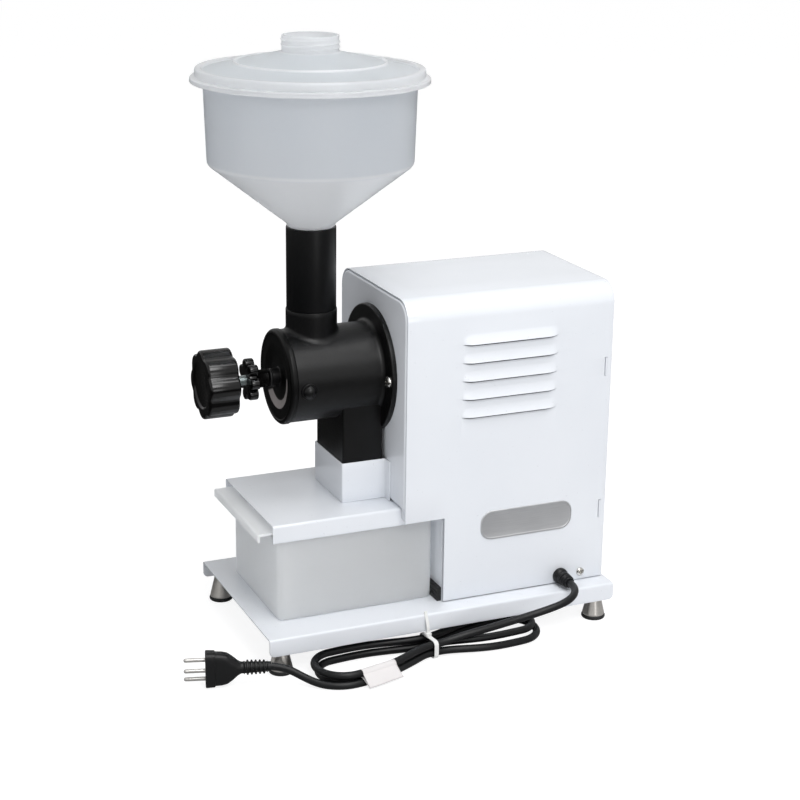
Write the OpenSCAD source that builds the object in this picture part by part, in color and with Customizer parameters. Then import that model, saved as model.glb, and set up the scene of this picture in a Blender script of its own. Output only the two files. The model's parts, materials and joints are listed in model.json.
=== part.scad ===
// Bench coffee grinder: sheet-metal base and motor housing, cast grinding head,
// plastic hopper with lid, grounds drawer and a mains lead tied in a hank.
// Frame: +Z up, front (knob and drawer) towards -Y, louvres and lead on +X,
// origin under the middle of the machine, on the surface it stands on.

/* [Base] */
// Width of the base plate
base_w = 206; // [200:1:212]
// Front edge of the base plate
base_front = -168; // [-172:1:-164]
// Rear edge of the base plate
base_rear = 198; // [197:1:204]
// Height of the base plate's top face
base_top = 39; // [37:0.5:41]
// Height of the folded side flanges
base_lip = 17.4; // [14:0.1:18]
// Thickness of the base sheet
base_t = 1.5; // [1:0.1:2]
// Distance of the feet from the middle line
foot_x = 91; // [88:0.5:91]
// Distance of the feet from the ends of the base
foot_inset = 15; // [14:0.5:22]
// Radius of a foot at its rubber pad
foot_r = 12; // [11:0.1:12.5]

/* [Housing] */
// Width of the housing cover
cover_w = 166; // [164:0.5:168]
// Front edge of the housing cover
cover_front = -24; // [-26:0.5:-23.5]
// Rear edge of the housing cover
cover_rear = 195; // [193:0.5:196]
// Height of the housing cover's top
cover_top = 345; // [343:0.5:348]
// Outer radius of the long top bends
cover_r = 20; // [14:0.5:22]
// Thickness of the cover sheet
cover_t = 1.2; // [0.8:0.1:1.4]
// Height of the cut under the overhang
cut_z = 127; // [126:0.5:127.5]
// Front face of the lower wall behind the drawer
wall_y = 18.5; // [18:0.1:19]
// Lower edge of the lowest louvre
louvre_z = 227.5; // [222:0.5:232]
// Louvre spacing
louvre_step = 18; // [15:0.5:19]
// Louvre count on each side
louvre_n = 5; // [3:1:6]
// Louvre length
louvre_len = 102; // [80:1:110]

/* [Drawer and shelf] */
// Width of the shelf over the drawer
shelf_w = 141; // [139:0.5:143]
// Front edge of the shelf
shelf_front = -152.5; // [-156:0.5:-150]
// Height of the shelf's top face
shelf_top = 139; // [138.5:0.1:139.3]
// Height of the shelf's side flanges
shelf_lip = 17.8; // [14:0.1:18]
// Width of the drawer
drawer_w = 135; // [130:0.5:137]
// Front face of the drawer
drawer_front = -146; // [-148:0.5:-142]
// Height of the drawer's rim
drawer_rim = 126; // [110:0.5:127]
// Wall of the drawer
drawer_t = 2.2; // [1.6:0.1:3]
// Half width of the chute collar
collar_x = 37; // [36.8:0.1:38]
// Front face of the chute collar
collar_front = -70; // [-71:0.1:-69.8]
// Top of the chute collar
collar_top = 179; // [165:1:190]

/* [Grinding head] */
// Height of the shaft axis
axis_z = 262; // [258:0.5:264]
// Distance of the hopper axis in front of the middle
hopper_y = -87; // [-88:0.5:-86]
// Outer radius of the grinder body
body_r = 45; // [44:0.5:46]
// Radius of the body's bore
bore_r = 38; // [37:0.1:39]
// Radius of the rear flange
flange_r = 62; // [58:0.5:63]
// Front face of the rear flange
flange_front = -29; // [-31:0.5:-28.5]
// Radius of the front cover
end_r = 46; // [45.5:0.1:48]
// Front face of the front cover
end_front = -123; // [-124:0.5:-122.5]
// Radius of the feed tube
tube_r = 23.7; // [23:0.1:24.4]
// Height of the joint between neck and feed tube
neck_top = 327; // [322:1:332]
// Height of the feed tube's rim
tube_top = 406; // [400:1:410]

/* [Adjuster] */
// Front face of the adjusting knob
knob_front = -198; // [-199:0.5:-196]
// Thickness of the adjusting knob
knob_t = 30; // [24:1:32]
// Radius of the adjusting knob over its lobes
knob_r = 33; // [30:0.5:35]
// Lobes on the adjusting knob
knob_lobes = 8; // [6:1:10]
// Radius of the adjusting stud
stud_r = 5; // [4:0.5:5]
// Radius of the lock knob over its lobes
lock_r = 20.5; // [18:0.5:22]
// Lobes on the lock knob
lock_lobes = 7; // [5:1:8]

/* [Hopper] */
// Outer radius of the hopper at the top of its cone
hopper_r = 97; // [92:0.5:98]
// Height of the top of the cone
cone_top = 467; // [455:1:480]
// Height of the hopper's flange
hopper_top = 545; // [530:1:555]
// Radius of the hopper's flange
rim_r = 110.2; // [106:0.1:112]
// Wall of the hopper and its lid
hopper_t = 2; // [1.5:0.1:2.5]
// Radius of the lid's neck
mouth_r = 26.3; // [24:0.1:30]
// Height of the lid above the hopper's flange
lid_h = 37.4; // [34:0.1:40]

/* [Mains lead] */
// Diameter of the lead
cord_d = 7.4; // [7:0.1:7.6]
// Fold radius of the innermost loop of the hank
fold_r = 20.5; // [20:0.1:22]
// Step from one loop of the hank to the next
loop_step = 8.6; // [8.4:0.1:9]
// Distance of the folds from the hank's middle
hank_half = 94; // [85:1:96]
// How far the tie draws the loops in
waist = 18; // [14:0.5:18]

/* [Hidden] */
$fn = 72;
gap = 0.3;
eps = 0.01;

white = "white";
black = [0.09, 0.09, 0.1];
steel = [0.72, 0.73, 0.75];
zinc = [0.66, 0.72, 0.74];
milky = [0.86, 0.9, 0.93, 0.75];
copper = [0.72, 0.42, 0.22];

base_under = base_top - base_t;
base_bottom = base_top - base_lip;
lip_r = 5;
foot_ys = [base_front + foot_inset, base_rear - foot_inset];
pad_h = 4;
foot_neck_r = 6.6;
foot_neck_z = 24;
nut_h = 5;
m6_r = 3;
m6_hole = 3.2;
bolt_clear = 0.05;

panel_front = -23;
panel_t = 1.5;
panel_gap = 1;
plate_front = panel_front + panel_t;
bracket_t = 4;
plate_rear = plate_front + bracket_t;
bracket_x = 78;
bracket_top = 335;
ledge_z = cut_z + 1;
bracket_foot = 70;
bracket_bolt_at = [60, 52];
stop_h = 14;
stop_t = 4.5;

cover_in = cover_w / 2 - cover_t;
louvre_y = wall_y + 15;
louvre_out = 4;
louvre_h = 10;
screw_at = [170, 48];
screw_r = 1.55;
tab_t = 2;
tab_len = 17;
tab_top = 18;
gland_at = [147, 47.5];
gland_r = 8;
tab_y = 189;
tab_h = 19;
tab_zs = [113.4, 262];
vent_n = 7;
vent_len = 80;
vent_z = 215;
vent_step = 12;
vent_h = 5;
badge_at = [107, 113];
badge = [100, 30];

shaft_r = 8;
bearing_r = 20;
bearing_t = 12;
shell_r = 69.5;
shell_in = 67;
shell_y = [-7.5, 127.5];
core_y = [30, 90];
bell_t = 10;
rotor_r = 36;
fan_y = 152;
shaft_end = 164;
can_at = [-42, 68];
can_r = 19;
bolt_circle = 56;
flange_screw_x = 54;
flange_head_r = 5.4;

spigot_r = 40;
body_front = end_front + 6;
rear_wall = -36;
neck_r = 24.5;
feed_r = 18.5;
spout_r = 20.5;
chute_x = 35.5;
chute_y = [-68.5, flange_front + 2];
chute_t = 4;
chute_bottom = 134.5;
guide_at = [-106, 258];

carrier_front = -110;
carrier_rear = -60;
carrier_wall = 4;
wall_rear = carrier_front + carrier_wall;
clip_y = wall_rear + gap;
clip_t = 1;
carrier_in = 33;
burr_r = 33;
burr_eye = 22;
hub_r = 14;
burr_gap = 1;
fixed_burr_y = [carrier_rear, -52];
turning_burr_y = [fixed_burr_y[1] + burr_gap, -44];
holder_rear = -38;
auger_y = -101;
auger_len = 30;
tip_r = 4;
groove_r = 3.2;
stud_front = knob_front + 12;
fit = 0.05;

lock_front = -154;
lock_lobe_t = 9;
washer_y = [-130.9, -129.6];
boss_front = -129.5;
lock_rear = -131;
boss_r = 9;

rim_t = 3;
lid_rim_r = 105.6;
drawer_z = base_top + gap;
drawer_rear = wall_y - stop_t - gap;
ledge_y = -166;
ledge_top = 131;
ledge_lip = 8;
ear_w = 11;

switch_at = [60, 95];
rocker_tilt = 10;
rocker_pivot = -(cover_w / 2 - 2);
trunnion_r = 1.6;

cord_r = cord_d / 2;
hank_mid = [107, -8];
hank_turn = 7;
hank_loops = 2;
loop_rings = 24;
layer_step = cord_d + 0.6;
floor_gap = 0.1;
waist_lift = 1.6;
waist_len = 45;
plug_at = [112, -170, 18];
plug_turn = -16;
relief_len = 28;
plug_len = 33;
pin_len = 20;
pin_r = 2;
pin_pitch = 9.5;

// Route of the lead from the gland to the tie, by hand
lead_route = [[105, 147, 47.5], [111, 146.8, 47.4], [119.5, 144.5, 47], [127.5, 139.4, 46.2],
    [133.5, 132, 45], [136.8, 122.5, 43.2], [137.5, 112, 41], [136, 94, 37], [131.5, 74, 31.5],
    [125.5, 54, 25.5], [120.5, 36, 20.5], [117.6, 20, 16.8], [116.9, 8, 14.4], [117.3, 0, 13.6]];
// Route from the tie to the plug, by hand
tail_route = [[119.2, -15, 5.2], [123.9, -26.5, 4.6], [132.9, -45.5, 3.9], [140.8, -64.5, 3.8],
    [146.4, -82, 3.8], [149.2, -97, 3.8], [148.9, -109, 3.8], [145.4, -120, 3.9], [139.2, -130.5, 4.8],
    [131.8, -139.5, 7.4], [124.4, -148, 11.4], [118, -157, 15.4]];

// Extrudes an outline drawn in X and Z from y0 to y1
module along_y(y0, y1) {
    translate([0, y1, 0]) rotate([90, 0, 0]) linear_extrude(y1 - y0) children();
}

// Extrudes an outline drawn in Y and Z from x0 to x1
module along_x(x0, x1) {
    translate([x0, 0, 0]) rotate([90, 0, 90]) linear_extrude(x1 - x0) children();
}

// Turns a profile of radius and Y about the shaft axis
module turned() {
    translate([0, 0, axis_z]) rotate([-90, 0, 0]) rotate_extrude() children();
}

// A round bar on a line parallel to Y
module rod_y(y0, y1, r, x = 0, z = axis_z) {
    translate([x, y1, z]) rotate([90, 0, 0]) cylinder(h = y1 - y0, r = r);
}

// A round bar on a line parallel to X
module rod_x(x0, x1, r, y, z) {
    translate([x0, y, z]) rotate([0, 90, 0]) cylinder(h = x1 - x0, r = r);
}

// A round bar standing upright
module post(x, y, z0, z1, r) {
    translate([x, y, z0]) cylinder(h = z1 - z0, r = r);
}

// Outline with two round upper corners, drawn in X and Z
module arch(w, z0, z1, r) {
    translate([-w / 2, z0]) square([w, z1 - z0 - r]);
    translate([-w / 2 + r, z0]) square([w - 2 * r, z1 - z0]);
    for (s = [-1, 1]) translate([s * (w / 2 - r), z1 - r]) circle(r);
}

// Rectangle with round corners about its middle
module round_rect(w, h, r) {
    square([w - 2 * r, h], center = true);
    square([w, h - 2 * r], center = true);
    for (sx = [-1, 1], sy = [-1, 1]) translate([sx * (w / 2 - r), sy * (h / 2 - r)]) circle(r);
}

// Ring of equal lobes about a round core
module lobes(r, n, lobe, core) {
    circle(core);
    for (i = [0:n - 1]) rotate(i * 360 / n) translate([r - lobe, 0]) circle(lobe);
}

// Hexagon of a given half width across its flats
module hexagon(half) {
    circle(r = half / cos(30), $fn = 6);
}

// Copies its children at the four feet
module at_feet() {
    for (sx = [-1, 1], y = foot_ys) translate([sx * foot_x, y, 0]) children();
}

// Copies its children at the bracket's bolts
module at_bracket_bolts() {
    for (s = [-1, 1]) translate([s * bracket_bolt_at[0], bracket_bolt_at[1], 0]) children();
}

// Folded tray: a top sheet with two side flanges
module tray(w, z0, z1, t, r, y0, y1) {
    along_y(y0, y1) difference() {
        arch(w, z0, z1, r);
        arch(w - 2 * t, z0 - 1, z1 - t, r - t);
    }
}

module base_plate() color(white) difference() {
    intersection() {
        tray(base_w, base_bottom, base_top, base_t, 3, base_front, base_rear);
        along_x(-base_w, base_w) {
            translate([base_front, base_bottom + lip_r]) square([base_rear - base_front, base_lip]);
            translate([base_front + lip_r, base_bottom - 1])
                square([base_rear - base_front - 2 * lip_r, base_lip]);
            for (y = [base_front + lip_r, base_rear - lip_r])
                translate([y, base_bottom + lip_r]) circle(lip_r);
        }
    }
    at_bracket_bolts() translate([0, 0, base_bottom]) cylinder(h = base_lip + 1, r = m6_hole);
}

// Upright tabs on the base that the cover's screws go into
module cover_tabs() color(white) for (s = [0, 1]) mirror([s, 0, 0]) difference() {
    translate([cover_in - tab_t - gap, screw_at[0] - 10, base_top]) cube([tab_t, tab_len, tab_top]);
    rod_x(cover_in - 8, cover_in + 1, screw_r, screw_at[0], screw_at[1]);
}

module feet() color(steel) at_feet() rotate_extrude() polygon([
    [m6_hole, pad_h + 8], [m6_hole, base_under - nut_h], [foot_neck_r, base_under - nut_h],
    [foot_neck_r, foot_neck_z], [foot_r - 0.9, pad_h + 1], [foot_r - 0.9, pad_h],
    [6.5, pad_h], [6.5, pad_h + 8]]);

module foot_pads() color(black) at_feet() rotate_extrude() polygon([
    [0, 0.6], [4, 0.6], [4.6, 0], [foot_r - 1, 0], [foot_r, 1], [foot_r, pad_h - 1], [foot_r - 0.8, pad_h],
    [0, pad_h]]);

module foot_bolts() color(steel) at_feet() {
    translate([0, 0, pad_h + 4]) linear_extrude(4) hexagon(5);
    translate([0, 0, pad_h + 8 - eps]) cylinder(h = base_under - pad_h - 9, r = m6_r - bolt_clear);
}

module weld_nuts() color(steel) at_feet() translate([0, 0, base_under - nut_h]) difference() {
    linear_extrude(nut_h) hexagon(5);
    translate([0, 0, -1]) cylinder(h = nut_h + 2, r = m6_r);
}

module support_bracket() color(white) difference() {
    along_x(-bracket_x, bracket_x) polygon([
        [plate_front, ledge_z], [wall_y, ledge_z], [wall_y, base_top], [bracket_foot, base_top],
        [bracket_foot, base_top + bracket_t], [wall_y + bracket_t, base_top + bracket_t],
        [wall_y + bracket_t, ledge_z + bracket_t], [plate_rear, ledge_z + bracket_t],
        [plate_rear, bracket_top], [plate_front, bracket_top]]);
    rod_y(plate_front - 1, plate_rear + 1, spigot_r + fit);
    for (s = [-1, 1]) rod_y(plate_front - 1, plate_rear + 1, m6_hole, s * flange_screw_x);
    at_motor_bolts() {
        rod_y(plate_front - 1, plate_rear + 1, m6_hole);
        rod_y(plate_front - 1, plate_front + 2.8, 5.7);
    }
    at_bracket_bolts() translate([0, 0, base_top - 1]) cylinder(h = bracket_t + 2, r = m6_hole);
}

// Copies a bar on the shaft axis to the motor's four bolts
module at_motor_bolts() {
    for (a = [45:90:315]) translate([bolt_circle * cos(a), 0, bolt_circle * sin(a)]) children();
}

module bracket_bolts() color(steel) at_bracket_bolts() {
    translate([0, 0, base_top + bracket_t]) linear_extrude(4) hexagon(5);
    translate([0, 0, base_bottom + 6])
        cylinder(h = base_top + bracket_t - base_bottom - 6 + eps, r = m6_r - bolt_clear);
}

module bracket_nuts() color(steel) at_bracket_bolts() translate([0, 0, base_under - nut_h]) difference() {
    linear_extrude(nut_h) hexagon(5);
    translate([0, 0, -1]) cylinder(h = nut_h + 2, r = m6_r);
}

module drawer_stop() color(black)
    translate([-bracket_x, wall_y - stop_t, base_top]) cube([2 * bracket_x, stop_t, stop_h]);

module shelf() color(white) difference() {
    tray(shelf_w, shelf_top - shelf_lip, shelf_top, cover_t, 2.5, shelf_front, plate_front);
    translate([-collar_x + cover_t, collar_front + cover_t, shelf_top - 5])
        cube([2 * (collar_x - cover_t), plate_front - collar_front, 10]);
}

module chute_collar() color(white) {
    difference() {
        translate([-collar_x, collar_front, shelf_top])
            cube([2 * collar_x, panel_front - collar_front, collar_top - shelf_top]);
        translate([-collar_x + cover_t, collar_front + cover_t, shelf_top - 1])
            cube([2 * (collar_x - cover_t), panel_front - collar_front, collar_top]);
    }
    for (s = [-1, 1])
        translate([s * (collar_x + ear_w / 2), panel_front - cover_t / 2, (shelf_top + collar_top) / 2])
            cube([ear_w + eps, cover_t, collar_top - shelf_top], center = true);
}

module front_panel() color(white) difference() {
    along_y(panel_front, plate_front)
        arch(2 * (cover_in - panel_gap), shelf_top + gap, cover_top - cover_t - panel_gap,
            cover_r - cover_t - panel_gap);
    rod_y(panel_front - 1, plate_front + 1, spigot_r + fit);
    for (s = [-1, 1]) rod_y(panel_front - 1, plate_front + 1, m6_hole, s * flange_screw_x);
}

// Louvre hood on the +X wall, opening downwards
module louvre_hood(z) {
    x = cover_w / 2;
    out = x + louvre_out;
    top = z + louvre_h;
    along_y(louvre_y, louvre_y + louvre_len) polygon([
        [x - cover_t, top - 1.8], [x, top], [out, z + 2], [out, z], [out - 1, z], [out - 1, z + 1.7],
        [x - cover_t + 0.4, top - 2.4]]);
    for (y = [louvre_y, louvre_y + louvre_len - 1]) along_y(y, y + 1)
        polygon([[x - cover_t / 2, top], [x, top], [out, z + 2], [out, z], [x - cover_t / 2, z]]);
}

module housing_cover() color(white) {
    difference() {
        tray(cover_w, base_top + gap, cover_top, cover_t, cover_r, cover_front, cover_rear);
        translate([-cover_w, cover_front - 1, base_top - 1])
            cube([2 * cover_w, wall_y - cover_front + 1, cut_z - base_top + 1]);
        for (s = [0, 1], i = [0:louvre_n - 1]) mirror([s, 0, 0])
            translate([cover_w / 2 - 3, louvre_y + 1, louvre_z + i * louvre_step])
                cube([6, louvre_len - 2, louvre_h - 2.5]);
        for (s = [-1, 1], z = tab_zs)
            translate([s * cover_w / 2, tab_y, z]) cube([8, 2.8, tab_h], center = true);
        for (s = [0, 1]) mirror([s, 0, 0])
            rod_x(cover_in - 2, cover_w, screw_r + 0.5, screw_at[0], screw_at[1]);
        rod_x(cover_in - 2, cover_w, gland_r - 1, gland_at[0], gland_at[1]);
        translate([-cover_w / 2 - 2, switch_at[0] - 13.8, switch_at[1] - 11])
            cube([4, 27.6, 22]);
    }
    for (s = [0, 1], i = [0:louvre_n - 1]) mirror([s, 0, 0]) louvre_hood(louvre_z + i * louvre_step);
}

module rear_panel() color(white) {
    w = 2 * cover_in - 0.8;
    top = cover_top - cover_t - 0.4;
    r = cover_r - cover_t - 0.4;
    difference() {
        along_y(cover_rear - 3, cover_rear - 3 + cover_t) arch(w, base_top + gap, top, r);
        for (i = [0:vent_n - 1])
            translate([-vent_len / 2, cover_rear - 10, vent_z + i * vent_step]) cube([vent_len, 20, vent_h]);
    }
    along_y(cover_rear - 16, cover_rear - 3) difference() {
        arch(w, base_top + gap, top, r);
        arch(w - 2 * cover_t, base_top - 1, top - cover_t, r - cover_t);
    }
    for (s = [-1, 1], z = tab_zs)
        translate([s * (cover_w / 2 - 0.8), tab_y, z]) cube([3.2, 1.6, tab_h - 1], center = true);
}

module cover_screws() color(steel) for (s = [0, 1]) mirror([s, 0, 0]) {
    translate([cover_w / 2, screw_at[0], screw_at[1]]) rotate([0, 90, 0]) difference() {
        rotate_extrude() polygon([[0, 0], [4.2, 0], [4.2, 1], [3.4, 2.2], [2, 2.7], [0, 2.8]]);
        for (a = [0, 90]) rotate(a) translate([-2.2, -0.4, 1.6]) cube([4.4, 0.8, 2]);
    }
    rod_x(cover_in - 8, cover_w / 2 + eps, screw_r - bolt_clear, screw_at[0], screw_at[1]);
}

module blank_plate() color(steel) along_x(cover_w / 2, cover_w / 2 + 1)
    translate(badge_at) round_rect(badge[0], badge[1], 12);

// Motor end bell with its bearing seat, drawn for the front and mirrored for the rear
module end_bell_profile() {
    lip = bell_t + 14;
    polygon([[shaft_r + 1, 0], [shell_r, 0], [shell_r, bell_t], [shell_in - 0.1, bell_t],
        [shell_in - 0.1, lip], [shell_in - 4, lip], [shell_in - 4, bell_t], [bearing_r + 6, bell_t],
        [bearing_r + 6, lip], [bearing_r, lip], [bearing_r, bell_t + 1.5], [shaft_r + 1, bell_t + 1.5]]);
}

module front_end_bell() color(steel) difference() {
    translate([0, plate_rear, 0]) turned() end_bell_profile();
    for (s = [-1, 1]) rod_y(plate_rear - 1, plate_rear + bell_t + 1, m6_r, s * flange_screw_x);
    at_motor_bolts() rod_y(plate_rear - 1, plate_rear + bell_t + 1, m6_r);
}

module motor_shell() color([0.3, 0.32, 0.35]) turned()
    polygon([[shell_in, shell_y[0]], [shell_r, shell_y[0]], [shell_r, shell_y[1]], [shell_in, shell_y[1]]]);

module rear_end_bell() color(steel)
    translate([0, shell_y[1] + bell_t, 0]) mirror([0, 1, 0]) turned() end_bell_profile();

module stator_core() color([0.45, 0.45, 0.47]) turned() polygon([
    [rotor_r + 0.6, core_y[0]], [shell_in, core_y[0]], [shell_in, core_y[1]], [rotor_r + 0.6, core_y[1]]]);

module stator_windings() color(copper) for (s = [0, 1])
    translate([0, s * (core_y[0] + core_y[1]), 0]) mirror([0, s, 0]) translate([0, core_y[0], 0])
        turned() polygon([[40, 0], [60, 0], [60, -8], [56, -12], [44, -12], [40, -8]]);

module motor_bolts() color(steel) at_motor_bolts() {
    translate([0, plate_front, axis_z]) rotate([90, 0, 0]) rotate_extrude()
        polygon([[0, -bracket_t - 8], [m6_r - bolt_clear, -bracket_t - 8], [m6_r - bolt_clear, -2.8],
            [5.4, -2.8], [5.4, -0.2], [0, -0.2]]);
}

// Ball bearing drawn as its two rings with a shield between
module bearing(y0) {
    ro = bearing_r - 0.02;
    ri = shaft_r + fit;
    translate([0, y0, 0]) turned() polygon([
        [ri, 0], [12, 0], [12, 0.8], [16.5, 0.8], [16.5, 0], [ro, 0], [ro, bearing_t], [16.5, bearing_t],
        [16.5, bearing_t - 0.8], [12, bearing_t - 0.8], [12, bearing_t], [ri, bearing_t]]);
}

module front_bearing() color(steel) bearing(plate_rear + bell_t + 1.5);

module rear_bearing() color(steel) bearing(shell_y[1] - 13.5);

module rotor_core() color([0.5, 0.5, 0.52]) turned() polygon([
    [shaft_r, core_y[0] - 3], [rotor_r - 4, core_y[0] - 3], [rotor_r - 4, core_y[0]], [rotor_r, core_y[0]],
    [rotor_r, core_y[1]], [rotor_r - 4, core_y[1]], [rotor_r - 4, core_y[1] + 3], [shaft_r, core_y[1] + 3]]);

module motor_shaft() color(steel) turned() polygon([
    [0, auger_y], [shaft_r - 1, auger_y], [shaft_r, auger_y + 1], [shaft_r, shaft_end - 1],
    [shaft_r - 1, shaft_end], [0, shaft_end]]);

module cooling_fan() color(black) {
    turned() polygon([[shaft_r, fan_y - 6], [14, fan_y - 6], [14, fan_y + 6], [shaft_r, fan_y + 6]]);
    for (i = [0:7]) translate([0, fan_y, axis_z]) rotate([0, i * 45, 0])
        translate([12, -5.5, -1]) rotate([28, 0, 0]) cube([48, 10, 1.6]);
}

module run_capacitor() color([0.8, 0.8, 0.78]) {
    rod_y(70, 140, can_r, can_at[0], can_at[1]);
    rod_y(66, 70 + eps, can_r - 3, can_at[0], can_at[1]);
    for (x = [-6, 6]) rod_y(58, 66 + eps, 1.5, can_at[0] + x, can_at[1]);
}

module capacitor_clip() color(steel) difference() {
    translate([can_at[0] - 23, 95, base_top]) cube([46, 16, 36]);
    rod_y(94, 112, can_r + bolt_clear, can_at[0], can_at[1]);
}

module terminal_block() color([0.2, 0.2, 0.22]) difference() {
    translate([20, 95, base_top]) cube([20, 44, 18]);
    for (y = [103:14:131]) post(30, y, base_top + 10, base_top + 20, 3.5);
}

module grinder_body() color(black) difference() {
    union() {
        turned() polygon([
            [0, body_front], [body_r - 1, body_front], [body_r, body_front + 1], [body_r, flange_front - 6],
            [body_r + 6, flange_front], [flange_r - 1.5, flange_front], [flange_r, flange_front + 1.5],
            [flange_r, panel_front], [spigot_r, panel_front], [spigot_r, plate_rear - gap],
            [0, plate_rear - gap]]);
        post(0, hopper_y, axis_z, neck_top, neck_r);
        translate([-chute_x, chute_y[0], chute_bottom])
            cube([2 * chute_x, chute_y[1] - chute_y[0], axis_z - chute_bottom]);
        rod_x(body_r - 12, body_r + 1.5, 8, guide_at[0], guide_at[1]);
    }
    rod_y(body_front - 1, rear_wall, bore_r);
    rod_y(rear_wall - 1, plate_rear, shaft_r + 1);
    post(0, hopper_y, axis_z, neck_top + 1, feed_r);
    post(0, hopper_y, neck_top - 14, neck_top + 1, spout_r);
    translate([-chute_x + chute_t, chute_y[0] + chute_t, chute_bottom - 1])
        cube([2 * (chute_x - chute_t), rear_wall - chute_y[0] - chute_t, axis_z - chute_bottom + 1]);
    for (s = [-1, 1]) {
        rod_y(flange_front - 9, panel_front + 1, m6_hole, s * flange_screw_x);
        rod_y(flange_front - 9, flange_front, flange_head_r + gap, s * flange_screw_x);
    }
    rod_x(bore_r - 6, body_r + 3, m6_r, guide_at[0], guide_at[1]);
}

module flange_screws() color(steel) for (s = [-1, 1]) translate([s * flange_screw_x, 0, axis_z]) {
    translate([0, flange_front, 0]) rotate([90, 0, 0]) difference() {
        rotate_extrude() polygon([
            [0, 0], [flange_head_r, 0], [flange_head_r, 1.2], [4.4, 2.7], [2.6, 3.3], [0, 3.4]]);
        for (a = [0, 90]) rotate(a) translate([-2.8, -0.5, 2]) cube([5.6, 1, 3]);
    }
    rotate([90, 0, 0]) translate([0, 0, -plate_rear - 7])
        cylinder(h = plate_rear + 7 - flange_front + eps, r = m6_r - bolt_clear);
}

module feed_tube() color(black) translate([0, hopper_y, 0]) rotate_extrude() polygon([
    [feed_r, neck_top - 13.5], [spout_r - fit, neck_top - 13.5], [spout_r - fit, neck_top],
    [tube_r, neck_top], [tube_r, tube_top], [spout_r + 0.9, tube_top], [spout_r + 0.9, tube_top - 26],
    [feed_r, tube_top - 32]]);

module front_cover() color(black) turned() polygon([
    [stud_r + fit, boss_front], [boss_r - 1, boss_front], [boss_r, boss_front + 1], [boss_r, end_front + 2.5],
    [21, end_front + 2.5], [31.5, end_front], [end_r - 5, end_front], [end_r - 4, end_front - 0.8],
    [end_r - 1.6, end_front - 0.2], [end_r, end_front + 1.6], [end_r, body_front - 1.2],
    [end_r - 1.2, body_front], [bore_r - 0.1, body_front], [bore_r - 0.1, body_front + 3],
    [stud_r + fit, body_front + 3]]);

module guide_screw() color(black) {
    translate([body_r + 1.5, guide_at[0], guide_at[1]]) rotate([0, 90, 0])
        rotate_extrude() polygon([[0, 0], [6.6, 0], [6.4, 1.6], [5.2, 3.4], [3.2, 4.6], [0, 5.2]]);
    rod_x(carrier_in + 2, body_r + 1.5 + eps, m6_r - bolt_clear, guide_at[0], guide_at[1]);
}

module feed_auger() color(steel) {
    turned() polygon([[shaft_r, auger_y + 2], [12, auger_y + 2], [12, turning_burr_y[0] - 3],
        [shaft_r, turning_burr_y[0] - 3]]);
    translate([0, auger_y + 3, axis_z]) rotate([-90, 0, 0])
        linear_extrude(auger_len, twist = -330, slices = 22, segments = 4)
            translate([10, -2]) square([20.5, 4]);
}

module burr_holder() color(steel) turned() polygon([
    [shaft_r, turning_burr_y[0]], [hub_r - 0.1, turning_burr_y[0]], [hub_r - 0.1, turning_burr_y[1]],
    [burr_r, turning_burr_y[1]], [burr_r, holder_rear], [shaft_r, holder_rear]]);

// Ring burr with radial teeth cut into the face at y_face
module burr(y0, y1, eye, y_face) {
    difference() {
        turned() polygon([[eye, y0], [burr_r, y0], [burr_r, y1], [eye, y1]]);
        for (i = [0:15]) translate([0, y_face, axis_z]) rotate([0, i * 22.5, 0])
            translate([eye - 2, -1.4, -1]) cube([burr_r - eye - 1, 2.8, 2]);
    }
}

module rotating_burr() color([0.4, 0.4, 0.42])
    burr(turning_burr_y[0], turning_burr_y[1], hub_r, turning_burr_y[0]);

module fixed_burr() color([0.4, 0.4, 0.42])
    burr(fixed_burr_y[0], fixed_burr_y[1], burr_eye, fixed_burr_y[1]);

module burr_carrier() color([0.55, 0.56, 0.58]) difference() {
    turned() polygon([
        [tip_r + fit, carrier_front], [bore_r - fit, carrier_front], [bore_r - fit, carrier_rear],
        [burr_eye, carrier_rear], [burr_eye, carrier_rear - 4], [carrier_in, carrier_rear - 4],
        [carrier_in, wall_rear], [tip_r + fit, wall_rear]]);
    translate([-feed_r, hopper_y - feed_r - 2, axis_z]) cube([2 * feed_r, 2 * feed_r + 5, 60]);
    translate([carrier_in - 3, guide_at[0] - m6_r - 1.2, guide_at[1] - m6_r - 0.2])
        cube([12, 2 * m6_r + 3.9, 2 * m6_r + 0.4]);
}

module adjusting_stud() color(zinc) turned() polygon([
    [0, stud_front], [stud_r, stud_front], [stud_r, carrier_front - gap], [tip_r, carrier_front - gap],
    [tip_r, clip_y], [groove_r, clip_y], [groove_r, clip_y + clip_t], [tip_r, clip_y + clip_t],
    [tip_r - 0.5, wall_rear + 2.2], [0, wall_rear + 2.2]]);

module stud_clip() color(steel) turned()
    polygon([[groove_r, clip_y], [7.5, clip_y], [7.5, clip_y + clip_t], [groove_r, clip_y + clip_t]]);

module adjusting_knob() color(black) difference() {
    union() {
        translate([0, knob_front, axis_z]) rotate([-90, 0, 0]) linear_extrude(knob_t)
            rotate(4.5) lobes(knob_r, knob_lobes, 11.5, 29.5);
        rod_y(knob_front + knob_t - 1, knob_front + knob_t + 2.5, 13);
    }
    rod_y(stud_front, knob_front + knob_t + 5, stud_r);
    turned() polygon([
        [0, knob_front - 1], [23, knob_front - 1], [21, knob_front + 1.6], [0, knob_front + 1.6]]);
}

module lock_washer() color(black) turned() polygon([[stud_r + 0.3, washer_y[0]], [8.8, washer_y[0]],
    [8.8, washer_y[1]], [stud_r + 0.3, washer_y[1]]]);

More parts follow.
